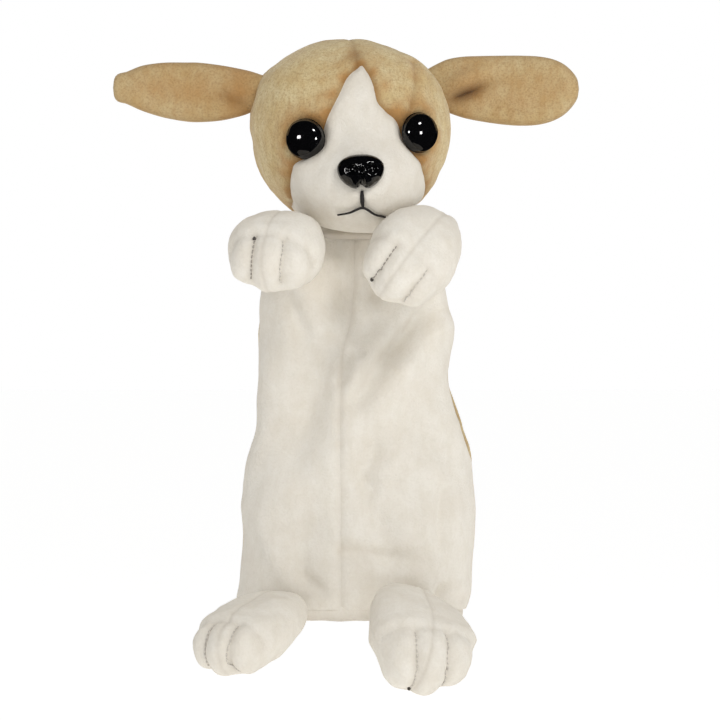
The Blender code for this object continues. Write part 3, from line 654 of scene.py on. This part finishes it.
earLooks = {
    # distance out from the hinge, upper and lower edge, all in millimetres
    "right": {"edges": ((-21, 4, -2), (-17, 6, -4), (-13, 7.4, -5.6), (-9, 8.7, -7.2), (-4.3, 9.8, -8.9),
                        (4.3, 11.4, -10.8), (13.9, 12.6, -11.5), (20, 12.7, -11.2), (28.2, 12.7, -9.8),
                        (34.3, 12.2, -8.2), (40.1, 11.1, -6.2), (46.3, 8.6, -3.4)),
              "tip": (51.6, 2.6), "thick": 4.2, "sign": -1, "pleat": 0.4, "warm": 0.8, "seed": 12},
    "left": {"edges": ((-22, 4, -5), (-17.5, 6.8, -7), (-13, 9.2, -9), (-9, 10.8, -10.9), (-3, 11.8, -13),
                       (3.9, 12.1, -14.5), (14.7, 12.3, -16.1), (23.6, 12.3, -16.7), (31.4, 11.9, -16.2),
                       (37.8, 10.6, -14.4), (43, 7.9, -11.2)),
             "tip": (48.2, -1.4), "thick": 4.0, "sign": 1, "pleat": 1.0, "warm": 0.6, "seed": 11},
}


def buildEar(side):
    look = earLooks[side]
    hinge = Vector(joints[f"ear_{side}_flop"]["pos_m"])
    sign = look["sign"]
    tipX, tipZ = look["tip"]
    edges = np.array(look["edges"])
    upper = smoothLine(np.vstack([edges[:, [0, 1]], [tipX - 1.0, tipZ + 4.6], [tipX, tipZ]]), 0.5)
    lower = smoothLine(np.vstack([edges[:, [0, 2]], [tipX - 1.0, tipZ - 4.6], [tipX, tipZ]]), 0.5)
    rows, columns = 90, 64
    # both edges are walked at the same share of their length
    share = np.linspace(0, 1, rows)
    walked = []
    for line in (upper, lower):
        length = np.r_[0, np.cumsum(np.linalg.norm(np.diff(line, axis=0), axis=1))]
        walked.append(np.stack([np.interp(share * length[-1], length, line[:, k]) for k in (0, 1)], 1))
    up, down = walked
    across = -np.cos(np.linspace(0, math.pi, columns)) * 0.5 + 0.5
    flat = down[:, None] + (up - down)[:, None] * across[None, :, None]
    tall = np.linalg.norm(up - down, axis=1)
    crown = np.minimum(1, tall / (0.62 * tall.max())) ** 0.8
    crown *= smooth(-0.1, 0.25, share) * 0.55 + 0.45
    rim = 4 * across * (1 - across)
    x, z = flat[..., 0], flat[..., 1]
    bulge = look["thick"] * crown[:, None] * rim[None] ** 0.42
    place = np.stack([x, np.zeros_like(x), z], -1).reshape(-1, 3)
    lumps = 0.5 * softNoise(place, 22, look["seed"]) + 0.15 * softNoise(place, 8, 13)
    lumps = lumps.reshape(x.shape)
    bend = 1.6 * np.sin((x + 13) / 65 * math.pi)
    # the root is folded once where it is sewn in: the upper lip lies over a small pocket
    fold = look["pleat"] * np.exp(-((x + 2) / 9) ** 2)
    lip = z - 0.35 * (x + 2)
    pocket = -6.5 * fold * bump(lip, -3.5, 3.4) + 4.0 * fold * bump(lip, 3, 3.6)
    rimGap = np.minimum(across, 1 - across)[None] * tall[:, None]
    for half, face in (("Front", -1), ("Back", 1)):
        y = face * (bulge * (1 + 0.12 * lumps) + 0.15) + bend
        y = y - pocket * (1 if half == "Front" else 0.6)
        points = np.stack([sign * x, y, z], -1).reshape(-1, 3)
        faces = gridFaces(rows, columns)
        if face * sign > 0:
            faces = [f[::-1] for f in faces]
        # painted shade: a little all over, more along the rim seam and most in the pocket under the folded
        # lip
        seamAndShadeNear = 0.16 + 0.2 * np.exp(-(rimGap / 1.2) ** 2) + 0.75 * fold * bump(lip, -3.5, 3.4)
        warmNear = 0.42 + 0.35 * smooth(3, 11, rimGap) + 0.4 * np.exp(-((x + 4) / 9) ** 2)
        warmNear = look["warm"] * warmNear * (0.8 + 0.4 * lumps)
        title = f"ear{side.capitalize()}{half}"
        piece = meshPiece(title, points, faces, Matrix.Translation(hinge), tanPlush,
                          {"seamAndShadeNear": np.clip(seamAndShadeNear, 0, 0.75).ravel(),
                           "warmNear": np.clip(warmNear, 0, 0.8).ravel()})
        weld(piece)
        thicken(piece, 1.4)
        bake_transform(piece)
        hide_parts(f"ear_{side}_{half.lower()}")


for side in ("left", "right"):
    buildEar(side)
print("ears made")


sleeveLook = {
    # height, reach to the puppet's right and left, and half depth, in millimetres
    "shape": ((0, 50, 46.5, 21), (8, 54.2, 50.8, 23.6), (20, 52.8, 52.4, 24.3), (40, 50.7, 52.9, 24.5),
              (57, 50.6, 53.4, 24.5), (68, 49.8, 52.8, 24.4), (78, 47.2, 51, 24), (88, 44.8, 46.6, 23.6),
              (98, 43.8, 43.4, 23.2), (108, 43.1, 41.4, 23), (120, 43.2, 42, 22.8), (131, 43, 43, 22.5),
              (145, 42.6, 42, 22.2), (155, 41, 40.5, 21.5), (163, 36.5, 36, 20.5), (170, 28.5, 28.5, 19),
              (175, 21.5, 21.5, 18)),
    "squareness": 2.4, "bottom": 5, "top": 175,
    "centreSeam": ((0, -6.6), (60, -6.8), (115, -6.4), (140, -1.5), (175, 0)),
    "sideSeam": 0.12,
    "peeks": ((94, 17, 0.36), (79, 7, 0.16)),
    # folds run from one place to another on the front, as (x, z), with depth, width and the ridge beside
    "folds": (
        ((34, 141), (17, 121), 4.5, 4.2, 2.2), ((17, 121), (1, 100), 3.6, 4.4, 2.0),
        ((-2, 120), (-6, 107), 2.2, 2.6, 1.2), ((-12, 122), (-30, 74), 4.8, 9, 1.6),
        ((9, 78), (2, 63), 2.6, 4, 1.2), ((39, 58), (38, 36), 2.4, 3, 1.4),
        ((39, 15), (37, 3), 2.0, 2.6, 1.2), ((-34, 152), (-22, 128), 2.6, 4.5, 1.2),
        ((22, 96), (42, 74), 2.0, 5.5, 0.9), ((-47, 58), (-38, 86), 2.0, 6, 0.9),
        ((12, 44), (20, 10), 2.2, 7, 1.0), ((-22, 48), (-27, 12), 2.2, 7, 1.0),
        ((-8, 172), (-4, 138), 3.4, 5, 1.2), ((13, 170), (9, 146), 2.6, 4, 1.0),
        ((2, 176), (3, 148), 2.6, 12, 0),
        ((-6, 31), (27, 27), 2.4, 3.6, 1.6), ((-43, 42), (-30, 17), -1.8, 4.5, -0.6),
        ((-24, 20), (-14, 13), 1.6, 3, 0.8), ((36, 12), (48, 10), 1.4, 3, 0.8),
        ((5, 64), (9, 58), 2.0, 4, 0.8),
    ),
}


def sleeveRing(angle, height, inset=0.0):
    # points on the sleeve's plain outer face, in millimetres
    right = follow(sleeveLook["shape"], height, 1)
    left = follow(sleeveLook["shape"], height, 2)
    deep = follow(sleeveLook["shape"], height, 3)
    c, s = np.cos(angle), np.sin(angle)
    q = sleeveLook["squareness"]
    reach = (np.abs(c) ** q + np.abs(s) ** q) ** (-1 / q)
    wide = np.where(c > 0, left, right)
    return np.stack([reach * c * (wide - inset), reach * s * (deep - inset), height + 0 * angle], -1)


def seamAngles(height):
    # where the side seams and the middle seam lie, as angles round the sleeve, -90 degrees in front
    middle = follow(sleeveLook["centreSeam"], height, 1)
    toRight, toLeft = (follow(sleeveLook["shape"], height, k) for k in (1, 2))
    wide = np.where(middle > 0, toLeft, toRight)
    centre = -math.pi / 2 + np.arcsin(np.clip(middle / wide, -1, 1)) * 0.93
    left = sleeveLook["sideSeam"] + 0 * height
    for at, width, forward in sleeveLook["peeks"]:
        left = left - forward * bump(height, at, width)
    right = -math.pi - sleeveLook["sideSeam"] + 0 * height
    return centre, left, right


def foldLift(points):
    # how far each point of the front is pushed out by the folds
    lift = np.zeros(len(points))
    flat = points[:, [0, 2]]
    for start, end, depth, width, ridge in sleeveLook["folds"]:
        start, end = np.array(start, float), np.array(end, float)
        along = end - start
        length = np.linalg.norm(along)
        share = (flat - start) @ along / length**2
        side = (flat - start) @ np.array([-along[1], along[0]]) / length
        fade = smooth(-0.35, 0.15, share) * smooth(1.35, 0.85, share)
        lift += fade * (-depth * np.exp(-(side / width) ** 2) + ridge * bump(side, 2.1 * width, 1.3 * width)
                        + ridge * 0.6 * bump(side, -2.1 * width, 1.3 * width))
    # the back hangs in a few soft upright waves
    waves = 1.1 * softNoise(points * [1, 1, 0.4], 21, 24) * smooth(172, 150, points[:, 2])
    return lift * smooth(2, -6, points[:, 1]) + waves * smooth(2, 12, points[:, 1])


def sleevePanel(name, height, first, last, columns, material, slotName, node):
    # one panel of the sleeve, between two seams given as an angle at each height
    rows = len(height)
    angle = first[:, None] + (last - first)[:, None] * np.linspace(0, 1, columns)
    tall = height[:, None] + 0 * angle
    points = sleeveRing(angle.ravel(), tall.ravel())
    outward = points - [0, 0, 1] * points
    outward = outward / [48, 24, 1] ** np.array(1.2)
    outward /= np.linalg.norm(outward, axis=1)[:, None]
    grid = points.reshape(rows, columns, 3)
    step = np.linalg.norm(np.diff(grid, axis=1), axis=2)
    fromStart = np.concatenate([np.zeros((rows, 1)), np.cumsum(step, 1)], 1)
    gap = np.minimum(fromStart, fromStart[:, -1:] - fromStart).ravel()
    lift = 0.9 * softNoise(points, 46, 21) + 0.35 * softNoise(points * [1, 1, 0.7], 17, 22)
    lift *= smooth(172, 150, points[:, 2]) * 0.8 + 0.2
    lift += foldLift(points)
    lift += -0.7 * np.exp(-(gap / 1.4) ** 2) + 0.3 * bump(gap, 4.5, 3)
    lift += 0.25 * softNoise(points, 7, 23) * np.exp(-gap / 4)
    points = points + outward * lift[:, None]
    # painted shade along the seams, where the cloth dips; the white panels get less of it
    shade = np.clip(0.4 * np.exp(-(gap / 1.2) ** 2) + 0.08 * np.exp(-gap / 5), 0, 0.6)
    if slotName == "white_plush":
        shade = shade * 0.3
    piece = meshPiece(name, points, gridFaces(rows, columns), material=material, shades={"seamAndShadeNear": shade})
    thicken(piece, 2)
    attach(piece, "glove")
    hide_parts(node)


def buildSleeve():
    height = np.linspace(sleeveLook["bottom"], sleeveLook["top"], 190)
    centre, left, right = seamAngles(height)
    sleevePanel("frontPanelLeft", height, centre, left, 80, whitePlush, "white_plush", "front_panel_left")
    sleevePanel("frontPanelRight", height, right, centre, 80, whitePlush, "white_plush",
                "front_panel_right")
    sleevePanel("backPanel", height, left, right + 2 * math.pi, 130, tanPlush, "tan_plush", "back_panel")
    # the hem is a rolled edge
    around, turns = 260, 28
    angle = np.linspace(0, 2 * math.pi, around, endpoint=False)
    turn = np.linspace(0, 2 * math.pi, turns, endpoint=False)
    hem = []
    for a in angle:
        edge = sleeveRing(np.array([a]), np.array([4.0]), 2.2)[0]
        out = np.array([math.cos(a) / 2, math.sin(a), 0])
        out /= np.linalg.norm(out)
        wave = 0.35 * math.sin(9 * a + 1) + 0.25 * math.sin(23 * a)
        for t in turn:
            thick = 2.1 * np.sign(math.cos(t)) * abs(math.cos(t)) ** 0.7
            tall = 4.3 * np.sign(math.sin(t)) * abs(math.sin(t)) ** 0.8 + 0.3 + wave * 0.5
            hem.append(edge + out * thick + np.array([0, 0, tall]))
    faces = gridFaces(around, turns, wrap=True)
    faces += [[(around - 1) * turns + t, (around - 1) * turns + (t + 1) % turns, (t + 1) % turns, t]
              for t in range(turns)]
    hem = np.array(hem)
    # painted shade: the hem is a touch darker all over and darkens towards its lower edge
    piece = meshPiece("hemBand", hem, faces, material=whitePlush,
                      shades={"seamAndShadeNear": 0.04 + 0.3 * smooth(5, 0, hem[:, 2])})
    weld(piece, turnOut=True)
    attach(piece, "glove")
    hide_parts("hem_band")
    # the lining hangs inside
    rows, columns = 90, 160
    height = np.linspace(3, 172, rows)
    angle = np.linspace(0, 2 * math.pi, columns, endpoint=False)
    tall = (height[:, None] + 0 * angle).ravel()
    points = sleeveRing((angle + 0 * height[:, None]).ravel(), tall, 3.6)
    points[:, :2] *= 1 - 0.012 * softNoise(points, 24, 31)[:, None]
    outward = points * [1, 2, 0]
    outward /= np.linalg.norm(outward, axis=1)[:, None]
    points += outward * (foldLift(points) - 0.6)[:, None]
    faces = [f[::-1] for f in gridFaces(rows, columns, wrap=True)]
    piece = meshPiece("handLining", points, faces, material=liningCloth)
    thicken(piece, 0.5)
    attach(piece, "glove")
    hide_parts("hand_sleeve_lining")


def buildNeck():
    # gathered cloth between the sleeve's top and the head
    rows, columns = 30, 240
    share = np.linspace(0, 1, rows)[:, None]
    angle = np.linspace(0, 2 * math.pi, columns, endpoint=False)[None]
    gathers = 0.6 * np.cos(22 * angle + 0.8 * np.sin(3 * angle)) * smooth(0.25, 0.6, share)
    # its lower edge rolls over the sleeve's top
    flare = 2.6 * bump(share, 0.2, 0.22) - 1.6 * bump(share, 0.7, 0.25) + gathers
    wide, deep = 21 + flare, 17.4 + flare
    tall = 172 + 11 * share + 0 * angle
    points = np.stack([wide * np.cos(angle), deep * np.sin(angle), tall], -1).reshape(-1, 3)
    # painted shade: darker in the troughs of the gathers, towards the lower edge under the chin, and a
    # little all over
    shade = (0.2 + 0.35 * smooth(0.3, -0.8, gathers) + 0.3 * smooth(0.5, 0.1, share)).ravel()
    piece = meshPiece("neckBand", points, gridFaces(rows, columns, wrap=True), material=whitePlush,
                      shades={"seamAndShadeNear": shade})
    thicken(piece, 1.6)
    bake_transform(piece)
    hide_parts("neck_band")
    # the cloth finger pocket inside the head
    directions, faces = roundBody(18)
    radius, domed, below = 11, 43, 47
    tube = directions * radius
    tube[:, 2] = domed + np.where(directions[:, 2] > 0, radius, below) * directions[:, 2]
    flat = np.linalg.norm(tube[:, :2], axis=1)
    low = tube[:, 2] < domed
    straight = radius / np.maximum(flat[low], 1e-6) * smooth(-0.02, 0.12, flat[low] / radius)
    tube[low, :2] *= straight[:, None]
    keep = [face for face in faces if min(tube[k][2] for k in face) > -3.6]
    used = sorted({k for face in keep for k in face})
    number = {k: i for i, k in enumerate(used)}
    keep = [[number[k] for k in face] for face in keep]
    piece = meshPiece("fingerPocket", tube[used], keep, headPlace, liningCloth)
    thicken(piece, 0.8)
    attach(piece, "head")
    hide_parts("finger_pocket")


buildSleeve()
buildNeck()
print("sleeve made")


limbLooks = {
    # millimetres from the joint: the middle line's start, bend and end; half width and height at the root
    # and the paw; the way across the toes; how far from the middle each toe stitch is, and the shares of the
    # end it covers; where the limb grows from root to paw; how deep the grooves and how high the toes are
    "arm_left": {"joint": "arm_left_hug", "start": (1, 7, 4), "bend": (5, -26, 17), "end": (-21, -40, -20),
                 "root": (13.5, 12), "paw": (22, 16.5), "across": (0.87, 0.1, -0.49),
                 "toes": (-8.4, 9.2), "knuckle": 0.74, "covers": (0.1, 0.5), "grows": (0.25, 0.75),
                 "groove": 1.3, "lobe": 2.2, "knots": ((0, -1),), "seed": 41},
    "arm_right": {"joint": "arm_right_hug", "start": (3, 7, 0), "bend": (-8, -24, 10),
                  "end": (-12, -42, -13), "root": (13.5, 12), "paw": (22.5, 17.5), "across": (1, 0.05, 0.06),
                  "toes": (-7.6, 6.2), "knuckle": 0.74, "covers": (0.1, 0.56), "grows": (0.1, 0.65),
                  "groove": 1.3, "lobe": 2.4, "knots": ((0, 0),), "seed": 42},
    "leg_left": {"joint": "leg_left_kick", "start": (0, 10, 3), "bend": (-6.5, -24, 3),
                 "end": (2.5, -40, -31), "root": (24.5, 11), "paw": (25, 16.5), "across": (0.92, 0.1, -0.38),
                 "toes": (-9, 6.5), "knuckle": 0.66, "covers": (0.08, 0.6), "grows": (0.3, 0.8),
                 "groove": 1.7, "lobe": 2.0, "knots": ((0, -1),), "seed": 43},
    "leg_right": {"joint": "leg_right_kick", "start": (5, 10, 4), "bend": (-4, -18, -3),
                  "end": (-23, -45, -19), "root": (21, 12), "paw": (21, 14.5), "across": (0.95, -0.2, 0.1),
                  "toes": (-6.5, 6.5), "knuckle": 0.74, "covers": (0.1, 0.8), "grows": (0.3, 0.8),
                  "groove": 1.5, "lobe": 2.2, "knots": (), "seed": 44},
}
bluntEnd = 0.33


def limbLine(look, along):
    start, bend, end = (np.array(look[key], float) for key in ("start", "bend", "end"))
    t = np.atleast_1d(along)[:, None]
    middle = start * (1 - t) ** 2 + bend * (2 * t * (1 - t)) + end * t**2
    ahead = (bend - start) * (1 - t) + (end - bend) * t
    ahead /= np.linalg.norm(ahead, axis=1)[:, None]
    across = np.array(look["across"], float) - (ahead @ np.array(look["across"], float))[:, None] * ahead
    across /= np.linalg.norm(across, axis=1)[:, None]
    return middle, across, np.cross(ahead, across)


def limbSize(look, along):
    share = smooth(*look["grows"], along)
    blunt = np.maximum(0, 4 * along * (1 - along)) ** bluntEnd
    (rootWide, rootTall), (pawWide, pawTall) = look["root"], look["paw"]
    halfWide = rootWide + (pawWide - rootWide) * share
    halfTall = rootTall + (pawTall - rootTall) * share
    return halfWide * blunt, halfTall * blunt


def limbPoint(look, directions):
    along = (1 - directions[:, 2]) / 2
    middle, across, over = limbLine(look, along)
    halfWide, halfTall = limbSize(look, along)
    # a section a little squarer than an oval, as stuffed cloth sewn from two halves is
    flat = np.maximum((np.abs(directions[:, :2]) ** 2.5).sum(1) ** (1 / 2.5), 1e-6)
    return (middle + across * (halfWide * directions[:, 0] / flat)[:, None]
            + over * (halfTall * directions[:, 1] / flat)[:, None])


def overPaw(look, along, aside, face=1):
    # the place on the paw's upper or lower face, at a share along it and a distance from its middle
    middle, across, over = limbLine(look, along)
    halfWide, halfTall = limbSize(look, along)
    tall = halfTall * np.sqrt(np.maximum(0, 1 - (aside / halfWide) ** 2))
    return middle + across * (aside + 0 * tall)[:, None] + over * (tall * face)[:, None]


def toeLine(look, aside):
    # over the end of the paw, from its upper face, at one distance from its middle
    blunt = (abs(aside) / look["paw"][0]) ** (1 / bluntEnd)
    start, end = look["knuckle"], (1 + math.sqrt(1 - blunt)) / 2
    turn = math.pi * np.linspace(*look["covers"], 46)
    return overPaw(look, start + (end - start) * np.sin(turn), aside, np.sign(np.cos(turn)))


def knuckleLine(look):
    aside = np.linspace(-0.86, 0.86, 60) * look["paw"][0]
    return overPaw(look, look["knuckle"] + 0.06 + 0 * aside, aside)


def addKnot(piece, at, place):
    # the thread's end, pulled into a small dark bead
    bead = piece.data.splines.new("POLY")
    bead.points.add(4)
    bead.material_index = 1
    for point, rise, radius in zip(bead.points, (-0.9, -0.6, 0, 0.6, 0.9), (0.15, 0.6, 0.85, 0.6, 0.15)):
        point.co = (*(place @ (Vector(at + [0, 0, rise]) * mm)), 1)
        point.radius = radius


def buildLimb(name):
    look = limbLooks[name]
    pivot = Vector(joints[look["joint"]]["pos_m"])
    place = Matrix.Translation(pivot)
    toes = [toeLine(look, aside) for aside in look["toes"]]
    across = limbLine(look, 0.5)[1][0]
    centre = limbLine(look, 0.5)[0][0]
    directions, faces = roundBody(16)
    points, faces = evenSkin(name, limbPoint(look, directions), faces, 3.6)
    points, faces = cutAlong(points, faces, (points - centre) @ across)
    region = np.where((faceMiddles(points, faces) - centre) @ across > 0, 1, 0)
    normals = normalsAt(points, faces)
    gap, _ = near(points, seamSamples(points, faces, region))
    toeGap = np.minimum(near(points, toes[0])[0], near(points, toes[1])[0])
    lift = 0.5 * softNoise(points, 22, look["seed"]) + 0.18 * softNoise(points, 9, look["seed"] + 10)
    lift += -0.4 * np.exp(-(gap / 1.1) ** 2)
    lift += -look["groove"] * np.exp(-(toeGap / 2.0) ** 2) + 0.4 * bump(toeGap, 5, 3)
    # three toes swell beyond the knuckle crease
    sampled = np.linspace(0, 1, 120)
    line, sideways, _ = limbLine(look, sampled)
    nearest = near(points, line)[1]
    aside = ((points - line[nearest]) * sideways[nearest]).sum(1)
    toeEnd = smooth(look["knuckle"] + 0.05, look["knuckle"] + 0.25, sampled[nearest])
    low, high = look["toes"]
    for middle in ((low - look["paw"][0]) / 2, (low + high) / 2, (high + look["paw"][0]) / 2):
        lift += look["lobe"] * toeEnd * bump(aside, middle, 4.6)
    knuckleGap, _ = near(points, knuckleLine(look))
    lift += -0.8 * np.exp(-(knuckleGap / 2.2) ** 2) + 0.4 * bump(knuckleGap, 5.5, 3)
    lift += 0.2 * softNoise(points, 5, look["seed"] + 20) * np.exp(-toeGap / 4)
    points = points + normals * lift[:, None]
    # painted shade along the side seam, in the toe grooves and at the knuckle crease
    shade = np.clip(0.22 * np.exp(-(gap / 0.9) ** 2) + 0.2 * np.exp(-(toeGap / 1.2) ** 2)
                    + 0.1 * np.exp(-(knuckleGap / 1.6) ** 2), 0, 0.5)
    for part, half in ((1, "outer"), (0, "inner")):
        title = f"{name}_{half}_skin"
        piece = regionPiece(title, points, faces, region, part, place, whitePlush, {"seamAndShadeNear": shade})
        thicken(piece, 1.8)
        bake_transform(piece)
        nodes = [f"{name}_{half}_panel"] + ([f"{name}_stuffing"] if part else [])
        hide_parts(*nodes)
    skin = BVHTree.FromPolygons(points.tolist(), faces)
    for number, (line, half) in enumerate(zip(toes, ("outer", "inner"))):
        # a running stitch: short dashes that sink in and out, laid along the groove's bottom
        length = np.r_[0, np.cumsum(np.linalg.norm(np.diff(line, axis=0), axis=1))]
        fine = np.linspace(0, length[-1], int(length[-1] / 0.25))
        wanted = np.stack([np.interp(fine, length, line[:, k]) for k in range(3)], 1)
        found = [skin.find_nearest(p) for p in wanted]
        path, away = np.array([f[0] for f in found]), np.array([f[1] for f in found])
        for _ in range(6):
            path[1:-1] = (path[:-2] + path[1:-1] + path[2:]) / 3
        wave = 0.4 * np.cos(fine / 2.4 * 2 * math.pi)
        piece = stitchTube(f"{name}_{half}_toeThread", path + away * wave[:, None], 0.27 + 0 * fine,
                           greyThread if name.startswith("arm") and number == 0 else paleThread, place)
        piece.data.materials.append(darkThread)
        for end in [end for toe, end in look["knots"] if toe == number]:
            addKnot(piece, path[end] + away[end] * 0.5, place)
        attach(piece, name)
        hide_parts(f"{name}_{half}_toe_stitch")


for name in limbLooks:
    buildLimb(name)
print("arms and legs made")


stageLook = {"floor": -58, "reach": 60000}


def buildStage():
    # a wide sheet of matt white paper
    reach, low = stageLook["reach"], stageLook["floor"]
    paper, tree, shader, place = newMaterial("mattWhitePaper")
    fibre = addNode(tree, "ShaderNodeTexNoise", {"Vector": place, "Scale": 1 / (4 * mm), "Detail": 3.0})
    tone = mixed(tree, fibre.outputs["Fac"], hexColour("#F7F7F6"), hexColour("#FFFFFF"))
    tree.links.new(tone, shader.inputs["Base Color"])
    shader.inputs["Roughness"].default_value = 0.95
    shader.inputs["Specular IOR Level"].default_value = 0.1
    shader.inputs["Emission Color"].default_value = (1, 1, 1, 1)
    shader.inputs["Emission Strength"].default_value = 0.42
    corners = np.array([(-reach, -reach), (reach, -reach), (reach, reach), (-reach, reach)], float)
    floor = meshPiece("paperFloor", np.insert(corners, 2, low, 1), [[0, 1, 2, 3]], material=paper)
    floor.visible_glossy = False


def areaLight(name, place, aim, size, power, glint):
    lamp = bpy.data.lights.new(name, "AREA")
    lamp.shape = "RECTANGLE"
    lamp.size, lamp.size_y = size
    lamp.energy = power
    lamp.color = (1, 0.99, 0.975)
    made = linked(name, lamp)
    made.location = place
    made.rotation_euler = (Vector(aim) - Vector(place)).to_track_quat("-Z", "Y").to_euler()
    # a glint panel shows only in the plastic, and a softbox only lights the cloth
    made.visible_glossy = glint
    made.visible_diffuse = not glint
    return made


def buildLight():
    scene = bpy.context.scene
    scene.world = bpy.data.worlds.new("studio")
    scene.world.use_nodes = True
    tree = scene.world.node_tree
    # a white tent: a bright band at the horizon, dimmer walls, and a brighter roof
    away = addNode(tree, "ShaderNodeTexCoord").outputs["Generated"]
    height = addNode(tree, "ShaderNodeSeparateXYZ", {"Vector": away}).outputs["Z"]
    roof = addNode(tree, "ShaderNodeMapRange", {"Value": height, "From Min": 0.25, "From Max": 0.9,
                                                "To Min": 0.34, "To Max": 0.78}).outputs[0]
    band = addNode(tree, "ShaderNodeMapRange", {"Value": height, "From Min": 0.06, "From Max": 0.16,
                                                "To Min": 1.0, "To Max": 0.0}).outputs[0]
    strength = addNode(tree, "ShaderNodeMath", {0: roof, 1: band}, operation="MAXIMUM")
    tree.links.new(strength.outputs[0], tree.nodes["Background"].inputs["Strength"])
    tree.nodes["Background"].inputs["Color"].default_value = (1, 1, 1, 1)
    scene.world.cycles_visibility.glossy = False
    scene.view_settings.view_transform = "Standard"
    areaLight("keySoftbox", (0.6, -1.15, 1.0), (0, 0, 0.12), (0.5, 0.4), 7.5, False)
    aim = Vector((0, -0.04, 0.22))
    for name, turn, rise, size in (("leftPanel", -41, 3, (0.2, 0.16)), ("topPanel", 37, 40, (0.2, 0.14)),
                                   ("rightPanel", 40, -1, (0.18, 0.15))):
        turn, rise = math.radians(turn), math.radians(rise)
        out = Vector((math.sin(turn) * math.cos(rise), -math.cos(turn) * math.cos(rise), math.sin(rise)))
        areaLight(name, aim + out, aim, size, 4.2, True)


def buildCamera():
    # a long lens from straight in front, level with the chest
    lens = bpy.data.cameras.new("camera")
    distance, framed = 5.0, 325.8 * mm
    lens.sensor_width = 36
    lens.lens = 36 * distance / framed
    made = linked("camera", lens)
    made.location = (2.3 * mm, -distance, 117.6 * mm)
    made.rotation_euler = (math.pi / 2, 0, 0)
    lens.clip_end = 200
    bpy.context.scene.camera = made


buildStage()
buildLight()
buildCamera()
print("stage, lights and camera made")
